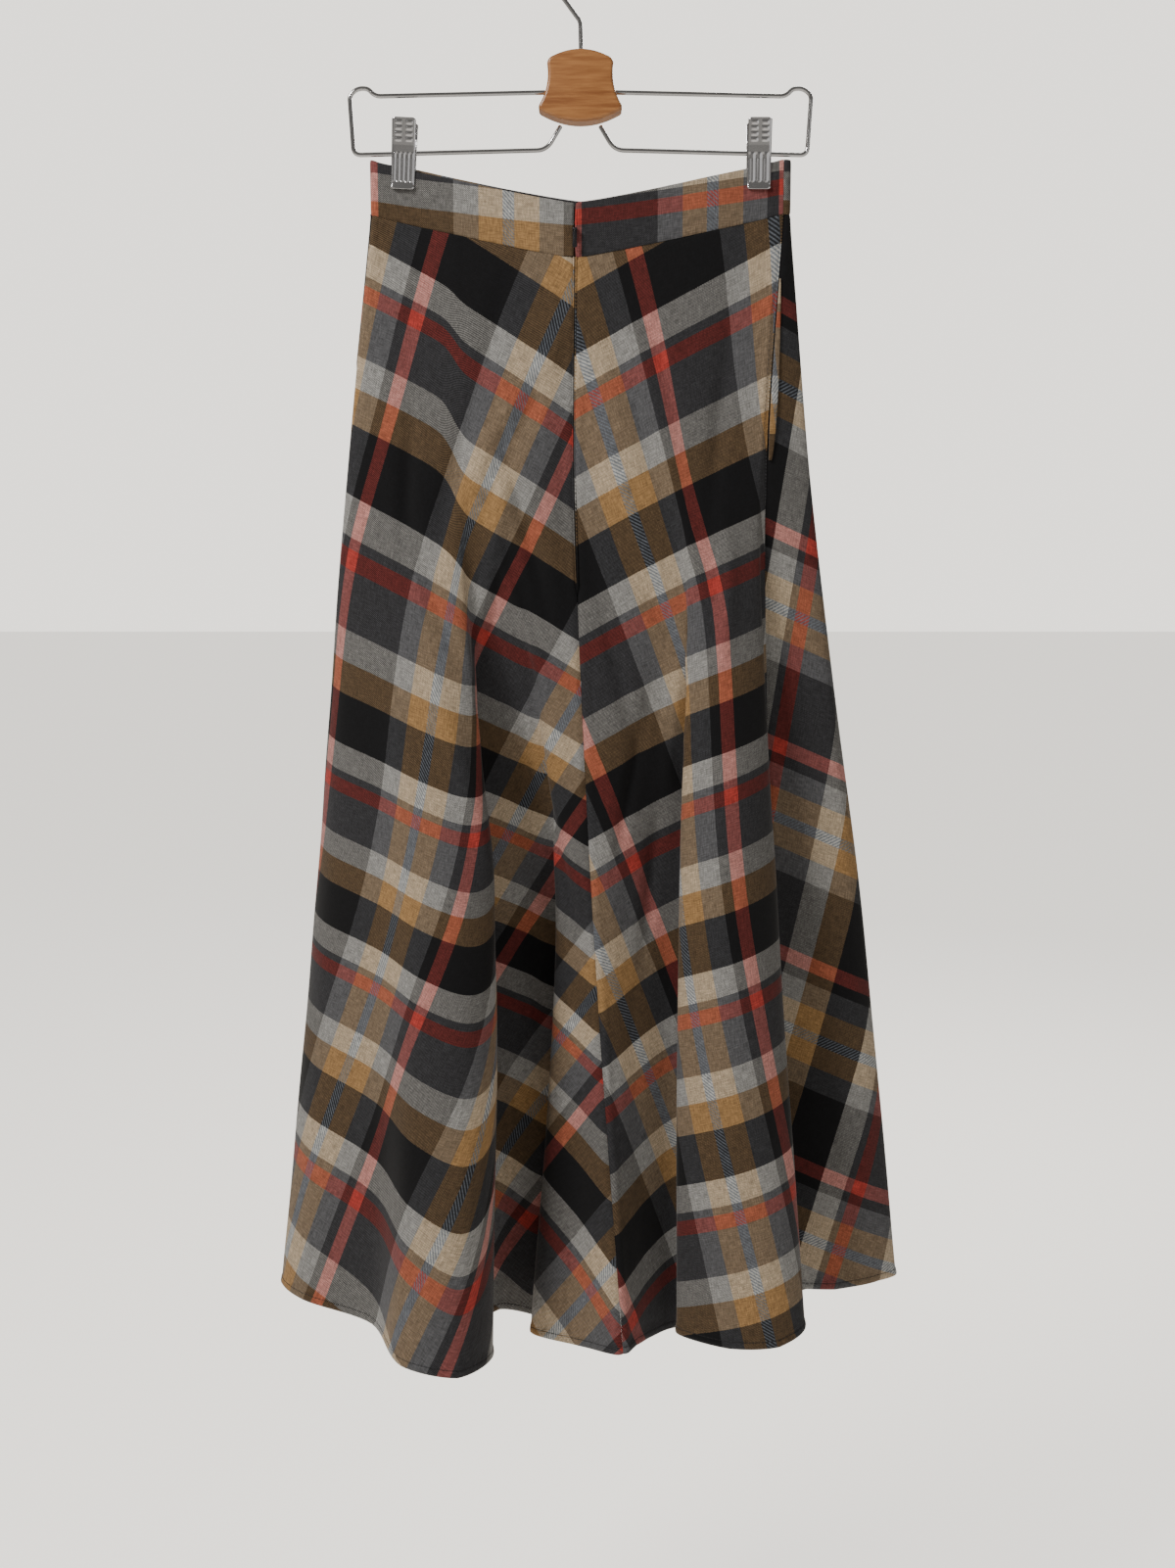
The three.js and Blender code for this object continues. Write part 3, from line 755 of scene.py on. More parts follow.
def grain_group() -> bpy.types.NodeTree:
    """Builds the group that draws wood grain along X.

    Returns:
        The node group.
    """
    group, nodes, entry, leave = new_group(
        "WoodGrain",
        {"Place": "NodeSocketVector"},
        {"Mask": "NodeSocketFloat", "Fine": "NodeSocketFloat"},
    )
    bands = nodes.stretched(entry["Place"], (22.0, 260.0, 260.0))
    nodes.join(nodes.noise(bands, 1.0, detail=5.0, roughness=0.62), leave["Mask"])
    pores = nodes.stretched(entry["Place"], (90.0, 2400.0, 2400.0))
    nodes.join(nodes.noise(pores, 1.0, detail=3.0, roughness=0.6), leave["Fine"])
    return group


def new_material(name: str) -> tuple[bpy.types.Material, Nodes, bpy.types.Node]:
    """Starts a material with a Principled shader.

    Args:
        name: the material's name.

    Returns:
        The material, its helper and its shader.
    """
    material = bpy.data.materials.new(name)
    material.use_nodes = True
    tree = material.node_tree
    return material, Nodes(tree), tree.nodes["Principled BSDF"]


@dataclass(frozen=True)
class PlaidCloth:
    """The skirt's brushed twill in black, grey, cream, tan and red."""

    sheen: float = 0.18
    sheen_roughness: float = 0.45
    specular: float = 0.25
    weave_strength: float = 0.5
    weave_depth: float = 0.00012

    def build(self, name: str, group: bpy.types.NodeTree) -> bpy.types.Material:
        """Makes the material.

        Args:
            name: the material's name.
            group: the plaid node group.

        Returns:
            The material.
        """
        material, nodes, shader = new_material(name)
        where = nodes.add("ShaderNodeUVMap", uv_map=CLOTH_UV)
        plaid = nodes.add("ShaderNodeGroup", node_tree=group)
        nodes.join(where.outputs[0], plaid.inputs["Map"])
        nodes.join(plaid.outputs["Color"], shader.inputs["Base Color"])
        nodes.join(plaid.outputs["Fuzz"], shader.inputs["Roughness"])
        shader.inputs["Sheen Weight"].default_value = self.sheen
        shader.inputs["Sheen Roughness"].default_value = self.sheen_roughness
        shader.inputs["Specular IOR Level"].default_value = self.specular
        nodes.bump(plaid.outputs["Height"], shader, self.weave_strength, self.weave_depth)
        return material


@dataclass(frozen=True)
class HardFinish:
    """A smooth hard finish, such as chrome or enamel."""

    colour: tuple[float, float, float]
    metallic: float
    roughness: float
    wear: float = 0.1
    coat: float = 0.0
    scratch_strength: float = 0.08
    scratch_depth: float = 0.0001

    def build(self, name: str, group: bpy.types.NodeTree) -> bpy.types.Material:
        """Makes the material.

        Args:
            name: the material's name.
            group: the wear node group.

        Returns:
            The material.
        """
        material, nodes, shader = new_material(name)
        place = nodes.add("ShaderNodeTexCoord")
        worn = nodes.add("ShaderNodeGroup", node_tree=group)
        nodes.join(place.outputs["Object"], worn.inputs["Place"])
        worn.inputs["Base"].default_value = self.roughness
        worn.inputs["Amount"].default_value = self.wear
        nodes.join(worn.outputs["Roughness"], shader.inputs["Roughness"])
        nodes.bump(worn.outputs["Height"], shader, self.scratch_strength, self.scratch_depth)
        shader.inputs["Base Color"].default_value = (*self.colour, 1.0)
        shader.inputs["Metallic"].default_value = self.metallic
        shader.inputs["Coat Weight"].default_value = self.coat
        return material


@dataclass(frozen=True)
class VarnishedWood:
    """The hanger block's orange-brown varnished hardwood.

    light_from and dark_to are places in the grain. pores is how far their noise brightens the colour,
    and the colour's share at its darkest, and gloss is the same for the roughness.
    """

    light: tuple = (0.52, 0.23, 0.077, 1.0)
    light_from: float = 0.62
    dark: tuple = (0.31, 0.115, 0.034, 1.0)
    dark_to: float = 0.34
    pores: tuple[float, float] = (0.3, 0.82)
    gloss: tuple[float, float] = (0.2, 0.3)
    varnish: float = 0.35
    varnish_roughness: float = 0.18
    pore_strength: float = 0.25
    pore_depth: float = 0.0002

    def build(self, name: str, group: bpy.types.NodeTree) -> bpy.types.Material:
        """Makes the material.

        Args:
            name: the material's name.
            group: the grain node group.

        Returns:
            The material.
        """
        material, nodes, shader = new_material(name)
        place = nodes.add("ShaderNodeTexCoord")
        grain = nodes.add("ShaderNodeGroup", node_tree=group)
        nodes.join(place.outputs["Object"], grain.inputs["Place"])
        ramp = nodes.add("ShaderNodeValToRGB")
        stops = ((self.dark_to, self.dark), (self.light_from, self.light))
        for stop, (position, colour) in zip(ramp.color_ramp.elements, stops):
            stop.position = position
            stop.color = colour
        nodes.join(grain.outputs["Mask"], ramp.inputs[0])
        fine = grain.outputs["Fine"]
        nodes.join(nodes.shaded(ramp.outputs[0], fine, *self.pores), shader.inputs["Base Color"])
        nodes.join(nodes.math("MULTIPLY_ADD", fine, *self.gloss), shader.inputs["Roughness"])
        shader.inputs["Coat Weight"].default_value = self.varnish
        shader.inputs["Coat Roughness"].default_value = self.varnish_roughness
        nodes.bump(fine, shader, self.pore_strength, self.pore_depth)
        return material


@dataclass
class Finishes:
    """Every finish on the skirt and its hanger, built once."""

    plaid: bpy.types.Material = None
    chrome: bpy.types.Material = None
    clip_chrome: bpy.types.Material = None
    wood: bpy.types.Material = None
    enamel: bpy.types.Material = None
    tape: bpy.types.Material = None
    thread: bpy.types.Material = None

    def build(self) -> "Finishes":
        """Builds the materials.

        Returns:
            The finishes themselves.
        """
        wear = wear_group()
        chrome = HardFinish((0.6, 0.6, 0.61), metallic=1.0, roughness=0.14, wear=0.08)
        clip_chrome = HardFinish((0.7, 0.7, 0.72), metallic=1.0, roughness=0.17, wear=0.12)
        enamel = HardFinish((0.022, 0.022, 0.025), metallic=0.3, roughness=0.34, wear=0.1, coat=0.2)
        tape = HardFinish((0.02, 0.02, 0.023), metallic=0.0, roughness=0.8, wear=0.2)
        thread = HardFinish((0.03, 0.028, 0.03), metallic=0.0, roughness=0.75, wear=0.2)
        self.plaid = PlaidCloth().build("plaid_cloth", plaid_group(PlaidSett(), TwillWeave()))
        self.chrome = chrome.build("hanger_chrome", wear)
        self.clip_chrome = clip_chrome.build("clip_chrome", wear)
        self.enamel = enamel.build("zip_metal", wear)
        self.tape = tape.build("zip_tape", wear)
        self.thread = thread.build("thread", wear)
        self.wood = VarnishedWood().build("hanger_wood", grain_group())
        return self


def dress(piece: bpy.types.Object, material: bpy.types.Material) -> bpy.types.Object:
    """Gives a piece its material.

    Args:
        piece: the piece.
        material: its material.

    Returns:
        The same piece.
    """
    piece.data.materials.clear()
    piece.data.materials.append(material)
    return piece


@dataclass
class Panel:
    """One flared quarter of the skirt, from a centre seam to a side seam.

    The rolls draw the cloth in at an edge, the seam ridge is the seam's allowance felt through the cloth,
    and the hem's groove and swell lie at and under its stitching. An _at field is a distance from the
    edge and a width, in millimetres. hem_lip is the height and the share of the thickness of the hem's
    own edge. The ripple is a faint waviness, the product of two slanting waves. ripple_across is how
    slowly the first goes round the cloth and down it, and ripple_down how slowly the second goes down it
    and round it.
    """

    node: str
    centre: Centre
    cut: Cut
    form: SkirtForm
    creases: tuple[Crease, ...] = ()
    thick: float = 0.9
    hem_turn: float = 8.0
    hem_extra: float = 1.0
    hem_step: float = 0.35
    hem_lip: tuple[float, float] = (0.5, 0.55)
    steps: int = 10
    rows: int = 120
    least_step: float = 0.012
    edge_shares: tuple[float, ...] = (0.02, 0.06, 0.14, 0.3)
    hem_rows: tuple[float, ...] = (9.0, 8.0, 7.2, 6.4, 6.0, 5.6, 4.6, 2.4, 0.8)
    waist_rows: tuple[float, ...] = (0.8, 2.0, 4.0)
    seam_gap: float = 0.12
    zip_gap: float = 0.0
    zip_length: float = 262.0
    zip_fade: float = 6.0
    roll_width: float = 1.6
    centre_roll: float = 0.9
    side_roll: float = 0.55
    waist_roll: float = 0.5
    seam_ridge: float = 0.5
    ridge_at: tuple[float, float] = (5.0, 2.5)
    hem_groove: float = 0.4
    groove_at: tuple[float, float] = (6.0, 0.7)
    hem_swell: float = 0.5
    swell_at: tuple[float, float] = (3.0, 2.2)
    ripple: float = 0.5
    ripple_from: float = 120.0
    ripple_across: tuple[float, float] = (31.0, 210.0)
    ripple_down: tuple[float, float] = (67.0, 80.0)
    grid: np.ndarray = field(default=None, repr=False)
    normals: np.ndarray = field(default=None, repr=False)
    uv: np.ndarray = field(default=None, repr=False)
    arcs: np.ndarray = field(default=None, repr=False)
    plain: np.ndarray = field(default=None, repr=False)
    levels: np.ndarray = field(default=None, repr=False)

    def places(self) -> np.ndarray:
        """Lists the stations from the centre seam to the side seam.

        Returns:
            Fold line numbers, whole on the lines themselves.
        """
        start_line, end_line, _ = self.centre.value
        start, end = self.form.index(start_line), self.form.index(end_line)
        if self.centre is Centre.BACK_RIGHT:
            start += len(FOLDS)
        way = 1 if end > start else -1
        count = abs(end - start)
        inner = np.linspace(0, count, count * self.steps + 1)
        near = np.array(self.edge_shares)
        every = np.unique(np.round(np.concatenate([inner, near, count - near]), 6))
        keep = np.diff(every, prepend=-1) >= self.least_step
        keep[-1] = True
        return start + way * every[keep]

    def row_levels(self) -> np.ndarray:
        """Lists the rows, closer together at the waist seam and the hem.

        Returns:
            Shares of the skirt's length.
        """
        main = np.linspace(0, 1, self.rows + 1)
        hem = 1 - np.array(self.hem_rows) / self.form.length
        waist = np.array(self.waist_rows) / self.form.length
        return np.unique(np.concatenate([main, hem, waist]))

    def flat_map(self) -> np.ndarray:
        """Finds where each point lies on the flat plaid.

        Returns:
            Places across and along the plaid, in millimetres.
        """
        way = self.centre.value[2]
        cut = self.cut
        t = self.levels
        at = {name: through_sections(np.array(getattr(cut, name)), t)
              for name in ("drift", "fall", "pass_seam", "pass_side", "cross_seam", "cross_side")}
        down = np.diff(t, prepend=0) * self.form.length
        seam_u = cut.start[0] - way * np.cumsum(at["drift"] * down)
        seam_v = cut.start[1] + np.cumsum(at["fall"] * down)
        share = self.arcs / self.arcs[:, -1:]
        step = np.diff(self.plain, axis=1, prepend=self.plain[:, :1])
        level = np.hypot(step[..., 0], step[..., 1])
        rise = step[..., 2]
        passed = at["pass_seam"][:, None] * (1 - share) + at["pass_side"][:, None] * share
        crossed = at["cross_seam"][:, None] * (1 - share) + at["cross_side"][:, None] * share
        u = seam_u[:, None] + way * np.cumsum(passed * level + at["drift"][:, None] * rise, axis=1)
        v = seam_v[:, None] + np.cumsum(crossed * level - at["fall"][:, None] * rise, axis=1)
        places = self.places()
        for tuck in cut.tucks:
            line = self.form.index(tuck.line)
            toward = np.sign(places[-1] - places[0])
            taken = 0.5 + 0.5 * np.tanh((places - line) * toward / tuck.reach)
            u = u + way * through_sections(np.array(tuck.across), t)[:, None] * taken[None]
            v = v + through_sections(np.array(tuck.along), t)[:, None] * taken[None]
        if cut.turned:
            u, v = -v, u
        return np.stack([u, v], axis=-1)

    def shape(self) -> None:
        """Works out the panel's grid, with its seam pull, hem ridge and creases."""
        self.levels = self.row_levels()
        grid = self.form.points(self.levels, self.places())
        below = self.levels[:, None] * self.form.length
        for end, inner in ((0, 1), (-1, -2)):
            way = grid[:, inner] - grid[:, end]
            gap = np.full(below.shape, self.seam_gap)
            if end == 0:
                gap = gap + self.zip_gap / (1 + np.exp((below - self.zip_length) / self.zip_fade))
            grid[:, end] += way / np.linalg.norm(way, axis=1, keepdims=True) * gap
        at_back = self.centre in (Centre.BACK_LEFT, Centre.BACK_RIGHT)
        normals = outside_normals(grid, at_back)
        self.plain = grid
        steps = np.linalg.norm(np.diff(grid, axis=1), axis=2)
        self.arcs = np.concatenate([np.zeros((len(grid), 1)), np.cumsum(steps, axis=1)], axis=1)
        push = np.zeros(self.arcs.shape)
        for crease in self.creases:
            middle = crease.across + crease.lean * (below - crease.down)
            push += crease.height * np.exp(
                -((self.arcs - middle) / crease.width) ** 2 - ((below - crease.down) / crease.length) ** 2
            )
        from_side = self.arcs[:, -1:] - self.arcs
        above_hem = self.form.length - below
        push -= (self.centre_roll * bell(self.arcs, 0, self.roll_width)
                 + self.side_roll * bell(from_side, 0, self.roll_width))
        push += (self.seam_ridge * bell(self.arcs, *self.ridge_at)
                 + self.seam_ridge * bell(from_side, *self.ridge_at))
        push -= self.waist_roll * bell(below, 0, self.roll_width)
        push -= self.hem_groove * bell(above_hem, *self.groove_at)
        push += self.hem_swell * bell(above_hem, *self.swell_at)
        across = np.sin(self.arcs / self.ripple_across[0] + below / self.ripple_across[1])
        ripple = across * np.sin(below / self.ripple_down[0] + self.arcs / self.ripple_down[1])
        push += self.ripple * ripple * np.minimum(below / self.ripple_from, 1.0)
        self.grid = grid + normals * push[..., None]
        self.normals = outside_normals(self.grid, at_back)
        self.uv = self.flat_map()

    def build(self, finishes: Finishes) -> bpy.types.Object:
        """Makes the panel as a hung sheet that stands for its solid.

        Args:
            finishes: the materials.

        Returns:
            The panel.
        """
        self.shape()
        above_hem = (1 - self.levels[:, None]) * self.form.length
        turned = self.hem_extra / (1 + np.exp((above_hem - self.hem_turn) / self.hem_step))
        lip_height, lip_share = self.hem_lip
        thick = (self.thick + turned + 0 * self.arcs) * np.where(above_hem < lip_height, lip_share, 1.0)
        piece = cloth_shell(self.node + "_cloth", self.grid, self.normals, thick, self.uv)
        dress(piece, finishes.plaid)
        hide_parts(self.node)
        log.info("%s: %d faces, hem %.0f mm, waist %.0f mm", piece.name, len(piece.data.polygons),
                 self.arcs[-1, -1], self.arcs[0, -1])
        return piece


def panels(form: SkirtForm) -> list[Panel]:
    """Lists the four panels with their cuts and creases.

    Args:
        form: the skirt's hanging form.

    Returns:
        The panels.
    """
    left_creases = (
        Crease(96, 175, 120, 9, -3.6, 0.28),
        Crease(70, 250, 90, 8, 3.4, 0.2),
        Crease(40, 225, 70, 7, -4.2, -0.25),
        Crease(140, 210, 60, 7, -3.6, 0.1),
        Crease(150, 420, 110, 10, 3.6, 0.1),
        Crease(60, 420, 90, 8, -4.6, -0.12),
        Crease(118, 560, 120, 11, -3.6, 0.15),
        Crease(20, 90, 40, 8, 2.3, 0.3),
        Crease(50, 160, 45, 6, -3.2, 0.5),
        Crease(66, 150, 40, 6, 3.0, 0.5),
        Crease(35, 120, 35, 6, -3.0, 0.6),
        Crease(85, 330, 50, 6, -3.8, 0.35),
        Crease(100, 350, 45, 6, 3.2, 0.35),
        Crease(45, 300, 50, 6, 3.5, -0.35),
        Crease(125, 300, 60, 7, -3.2, -0.15),
        Crease(30, 480, 60, 6, -3.8, -0.2),
        Crease(95, 640, 80, 9, -4.1, 0.1),
    )
    right_creases = (
        Crease(60, 160, 110, 9, -3.6, 0.3),
        Crease(95, 250, 90, 8, 3.6, 0.25),
        Crease(120, 160, 80, 8, -3.4, -0.1),
        Crease(75, 400, 90, 9, 4.2, -0.15),
        Crease(100, 470, 60, 7, -5.0, 0.35),
        Crease(30, 330, 70, 7, -3.6, 0.2),
        Crease(75, 110, 40, 6, -3.0, 0.3),
        Crease(45, 200, 50, 6, 3.2, 0.4),
        Crease(70, 300, 40, 6, -3.8, 0.6),
        Crease(84, 310, 40, 6, 3.2, 0.6),
        Crease(130, 300, 60, 7, 3.2, 0.1),
        Crease(95, 380, 28, 6, -4.3, 1.1),
        Crease(108, 392, 26, 6, 3.5, 1.1),
        Crease(40, 430, 60, 6, -3.8, -0.25),
        Crease(55, 520, 70, 7, -4.1, -0.15),
    )
    front_creases = (
        Crease(60, 200, 120, 10, -2.7, 0.2),
        Crease(110, 330, 100, 10, 2.7, 0.1),
        Crease(40, 460, 90, 9, -2.7, -0.1),
        Crease(150, 560, 110, 12, 3.1, 0.1),
    )
    back_left = Cut(
        start=(108, 96),
        drift=(0.43, 0.52, 0.70, 0.72),
        fall=(0.74, 0.76, 1.04, 0.50),
        pass_seam=(0.86, 1.04, 0.84, 0.80),
        pass_side=(0.88, 1.14, 1.06, 1.05),
        cross_seam=(0.48, 0.52, 0.66, 0.74),
        cross_side=(0.44, 0.33, 0.26, 0.22),
        tucks=(
            Tuck("underRamp", 0.6, (0, 0, 0, 0), (0, 0, -15, -45)),
            Tuck("leftFoldEdge", 0.7, (0, 4, 46, 66), (0, 18, -52, -112)),
        ),
    )
    back_right = Cut(
        start=(133, 103),
        drift=(0.28, 0.34, 0.35, 0.38),
        fall=(0.80, 0.83, 0.84, 0.86),
        pass_seam=(0.87, 0.95, 0.98, 0.95),
        pass_side=(0.95, 1.24, 1.06, 1.06),
        cross_seam=(0.45, 0.47, 0.48, 0.53),
        cross_side=(0.43, 0.36, 0.22, 0.18),
        tucks=(Tuck("pleatInner", 0.7, (0, 6, 8, 36)),),
    )
    front = Cut(
        start=(136, 46),
        drift=(0.40, 0.42, 0.46, 0.50),
        fall=(0.80, 0.82, 0.80, 0.78),
        pass_seam=(0.90, 0.92, 0.90, 0.87),
        pass_side=(0.95, 1.0, 1.0, 1.0),
        cross_seam=(0.46, 0.50, 0.54, 0.58),
        cross_side=(0.42, 0.42, 0.40, 0.36),
        turned=True,
    )
    return [
        Panel("panel_back_left", Centre.BACK_LEFT, back_left, form, left_creases, zip_gap=1.0),
        Panel("panel_back_right", Centre.BACK_RIGHT, back_right, form, right_creases, zip_gap=1.0),
        Panel("panel_front_left", Centre.FRONT_LEFT, front, form, front_creases),
        Panel("panel_front_right", Centre.FRONT_RIGHT, front, form, front_creases),
    ]


@dataclass(frozen=True)
class BandCut:
    """One waistband piece: its fold lines, its end gaps and where it lies on the flat plaid.

    across is added to x, turned round where mirror is -1, to give the place across the plaid. along is
    the place down the plaid of the top edge, at x = 0 and for each millimetre of x.
    """

    node: str
    first: str
    last: str
    start_gap: float
    end_gap: float
    at_back: bool
    across: float
    mirror: int
    along: tuple[float, float]


@dataclass
class Waistband:
    """The straight band above the skirt, in three pieces, open at the centre back.

    rises are the heights of its rows. The band thins to edge_thick over edge_fade at its long edges, and
    to end_share of its thickness over end_fade at its open ends, whose top corners are rounded by corner.
    A closed end counts as closed_away from any open one. pucker lies along the waist seam, and sag in
    the middle of the band.
    """

    form: SkirtForm
    finishes: Finishes
    height: float = 42.0
    rises: tuple[float, ...] = (
        0, 0.35, 0.9, 1.8, 3.4, 6, 10, 15, 21, 27, 32, 36, 38.6, 40.2, 41.1, 41.65, 42,
    )
    steps: int = 8
    end_shares: tuple[float, ...] = (0.03, 0.08, 0.15, 0.3)
    thick: float = 2.0
    edge_thick: float = 0.7
    edge_fade: float = 0.9
    end_share: float = 0.45
    end_fade: float = 0.8
    corner: float = 2.2
    closed_away: float = 50.0
    pucker: float = 0.16
    pucker_length: float = 5.3
    pucker_fade: float = 9.0
    sag: float = 0.25
    sag_length: float = 37.0
    seam_gap: float = -0.4
    cuts: tuple[BandCut, ...] = (
        BandCut("waistband_back_left", "centreBack", "sideLeft", 2.5, 0.15, True, 174.0, 1, (84.5, 0.085)),
        BandCut("waistband_front", "sideLeft", "sideRight", 0.15, 0.15, False, -159.6, -1, (70.0, 0.0)),
        BandCut("waistband_back_right", "sideRight", "centreBack", 0.15, 2.5, True, 11.7, 1, (24.0, -0.06)),
    )

    def piece(self, cut: BandCut) -> bpy.types.Object:
        """Makes one piece of the band.

        Args:
            cut: the piece.

        Returns:
            The dressed piece.
        """
        start, end = self.form.index(cut.first), self.form.index(cut.last)
        end += len(FOLDS) if end <= start else 0
        ends = np.array(self.end_shares)
        places = np.unique(np.concatenate([
            np.linspace(start, end, (end - start) * self.steps + 1), start + ends, end - ends,
        ]))
        row = self.form.points(np.array([0.0]), places)[0]
        for tip, inner, gap in ((0, 1, cut.start_gap), (-1, -2, cut.end_gap)):
            way = row[inner] - row[tip]
            row[tip] += way / np.linalg.norm(way) * gap
        rise = np.array(self.rises)
        grid = np.repeat(row[None], len(rise), axis=0)
        grid[:, :, 2] += (self.seam_gap + rise)[:, None]
        arcs = arc_lengths(row)
        normals = outside_normals(grid, cut.at_back)
        edge = np.minimum(rise, self.height - rise)
        thick = self.edge_thick + (self.thick - self.edge_thick) * (1 - np.exp(-edge / self.edge_fade))
        open_start = arcs if cut.start_gap > 1 else arcs + self.closed_away
        open_end = arcs[-1] - arcs if cut.end_gap > 1 else arcs + self.closed_away
        tip = np.minimum(open_start, open_end)
        taper = self.end_share + (1 - self.end_share) * (1 - np.exp(-tip / self.end_fade))
        thick = thick[:, None] * taper[None]
        corner = np.maximum(self.corner - tip, 0) ** 2 / self.corner
        grid[:, :, 2] -= corner[None] * (rise / self.height)[:, None] ** 4
        wave = np.sin(arcs / self.pucker_length + 1.4 * np.sin(arcs / 17.0))
        pucker = wave[None] * np.exp(-rise / self.pucker_fade)[:, None]
        sag = np.sin(arcs / self.sag_length)[None] * np.sin(rise / self.height * math.pi)[:, None]
        press = self.pucker * pucker + self.sag * sag
        grid = grid + normals * press[..., None]
        normals = outside_normals(grid, cut.at_back)
        u = cut.across + cut.mirror * grid[..., 0]
        v = self.height - rise[:, None] + cut.along[0] + cut.along[1] * grid[..., 0]
        sheet = cloth_shell(cut.node + "_cloth", grid, normals, thick, np.stack([u, v], axis=-1))
        dress(sheet, self.finishes.plaid)
        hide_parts(cut.node)
        return sheet

    def build(self) -> None:
        """Builds the three pieces."""
        for cut in self.cuts:
            self.piece(cut)


@dataclass
class PocketFacing:
    """The narrow facing strip in the opening of the right side's pocket.

    top and share are shares of the skirt's length: where the strip starts, and how long it is. away,
    end_width and bow_width are shares of the step between fold lines: how far the strip lies from the
    side seam, its width at its ends, and how much wider its middle is. end_round is a little over a
    half, so that the bow doesn't close at the ends. cloth_start is where its top lies on the flat plaid,
    cloth_width its width there, and cloth_drift how far it moves across for each millimetre down.
    """

    form: SkirtForm
    finishes: Finishes
    top: float = 0.055
    share: float = 0.155
    rows: int = 60
    columns: int = 8
    normal_step: float = 0.004
    away: float = 0.12
    end_width: float = 0.04
    bow_width: float = 0.3
    end_round: float = 0.525
    thick: float = 0.8
    lift: float = 1.45
    roll: float = 0.25
    cut_width: float = 10.0
    cloth_start: tuple[float, float] = (92.0, 168.0)
    cloth_width: float = 7.0
    cloth_drift: float = 0.25

    def build(self) -> bpy.types.Object:
        """Makes the strip.

        Returns:
            The dressed strip.
        """
        first = self.form.index("sideRight")
        along = np.linspace(0, 1, self.rows + 1)
        levels = self.top + self.share * along
        rounded = np.sqrt(np.maximum(1 - ((along - 0.5) / self.end_round) ** 2, 0))
        widths = self.end_width + self.bow_width * rounded
        shares = np.linspace(0, 1, self.columns + 1)
        rows = []
        outs = []
        for t, width in zip(levels, widths):
            places = first - self.away - width * (1 - shares)
            near = self.form.points(np.array([t - self.normal_step, t, t + self.normal_step]), places)
            rows.append(near[1])
            outs.append(outside_normals(near, False)[1])
        normals = np.array(outs)
        normals *= np.sign(normals[:, :, :1].mean()) or 1.0
        roll = self.roll * np.sin(shares * math.pi)
        grid = np.array(rows) + normals * (self.lift + roll)[None, :, None]
        down = ((levels - self.top) * self.form.length)[:, None]
        across = (shares * self.cloth_width)[None]
        u = across + self.cloth_start[0] + down * self.cloth_drift
        v = down + self.cloth_start[1]
        uv = np.stack(np.broadcast_arrays(u, v), axis=-1)
        sheet = cloth_shell("pocket_facing_cloth", grid, normals, np.array(self.thick), uv)
        dress(sheet, self.finishes.plaid)
        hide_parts("pocket_facing_right")
        return sheet


# A wire's rounded end: how far it turns in, in half turns, and its length against a full round one
CAP_TURN = 0.46
CAP_FLAT = 0.6


def skin(rings: list[np.ndarray]) -> tuple[np.ndarray, list]:
    """Joins rings of points into a closed form, with one face over each end.

    Args:
        rings: the rings in order, all with as many points.

    Returns:
        Points and faces.
    """
    verts = np.concatenate(rings)
    number = np.arange(len(verts)).reshape(len(rings), -1)
    after = np.roll(number, -1, axis=1)
    faces = np.stack([number[:-1], after[:-1], after[1:], number[1:]], axis=-1).reshape(-1, 4).tolist()
    return verts, faces + [number[0][::-1].tolist(), number[-1].tolist()]


def tube(points: np.ndarray, radius: float, sides: int = 16, cap_rings: int = 3) -> tuple[np.ndarray, list]:
    """Sweeps a round wire along points, with rounded ends.

    Args:
        points: centres, one row each.
        radius: the wire's radius.
        sides: points round the wire.
        cap_rings: rings in each rounded end.

    Returns:
        Points and faces.
    """
    points = np.asarray(points, dtype=float)
    along = np.gradient(points, axis=0)
    along /= np.linalg.norm(along, axis=1, keepdims=True)
    side = np.cross(along[0], [0.0, 1.0, 0.0])
    if np.linalg.norm(side) < 0.1:
        side = np.cross(along[0], [1.0, 0.0, 0.0])
    angles = np.linspace(0, 2 * math.pi, sides, endpoint=False)
    last = len(points) - 1
    rings = []
    for k, (point, way) in enumerate(zip(points, along)):
        side = side - way * side.dot(way)
        side = side / np.linalg.norm(side)
        circle = np.outer(np.cos(angles), side) + np.outer(np.sin(angles), np.cross(way, side))
        for c in range(-cap_rings if k == 0 else 0, cap_rings + 1 if k == last else 1):
            turn = c / cap_rings * math.pi * CAP_TURN
            centre = point + way * radius * math.sin(turn) * CAP_FLAT
            rings.append(centre + radius * math.cos(turn) * circle)
    return skin(rings)


def rounded_slab(
    outline: np.ndarray, depth: float, round_by: float, steps: int = 4
) -> tuple[np.ndarray, list]:
    """Makes a slab with softened edges from an outline in the XZ plane.

    Args:
        outline: points [x, z], in order.
        depth: the slab's depth along Y.
        round_by: the radius of its edges.
        steps: rings in each rounded edge.

    Returns:
        Points and faces.
    """
    outline = np.asarray(outline, dtype=float)
    way = np.roll(outline, -1, axis=0) - np.roll(outline, 1, axis=0)
    way /= np.linalg.norm(way, axis=1, keepdims=True)
    out = np.stack([way[:, 1], -way[:, 0]], axis=1)
    x, z = outline[:, 0], outline[:, 1]
    if np.sum(x * np.roll(z, -1) - np.roll(x, -1) * z) < 0:
        out = -out
    turns = np.linspace(0, math.pi / 2, steps + 1)
    rings = []
    for side, order in ((-1, turns[::-1]), (1, turns)):
        for a in order:
            flat = outline - out * round_by * (1 - math.cos(a))
            y = side * (depth / 2 - round_by * (1 - math.sin(a)))
            rings.append(np.stack([flat[:, 0], np.full(len(flat), y), flat[:, 1]], axis=1))
    return skin(rings)


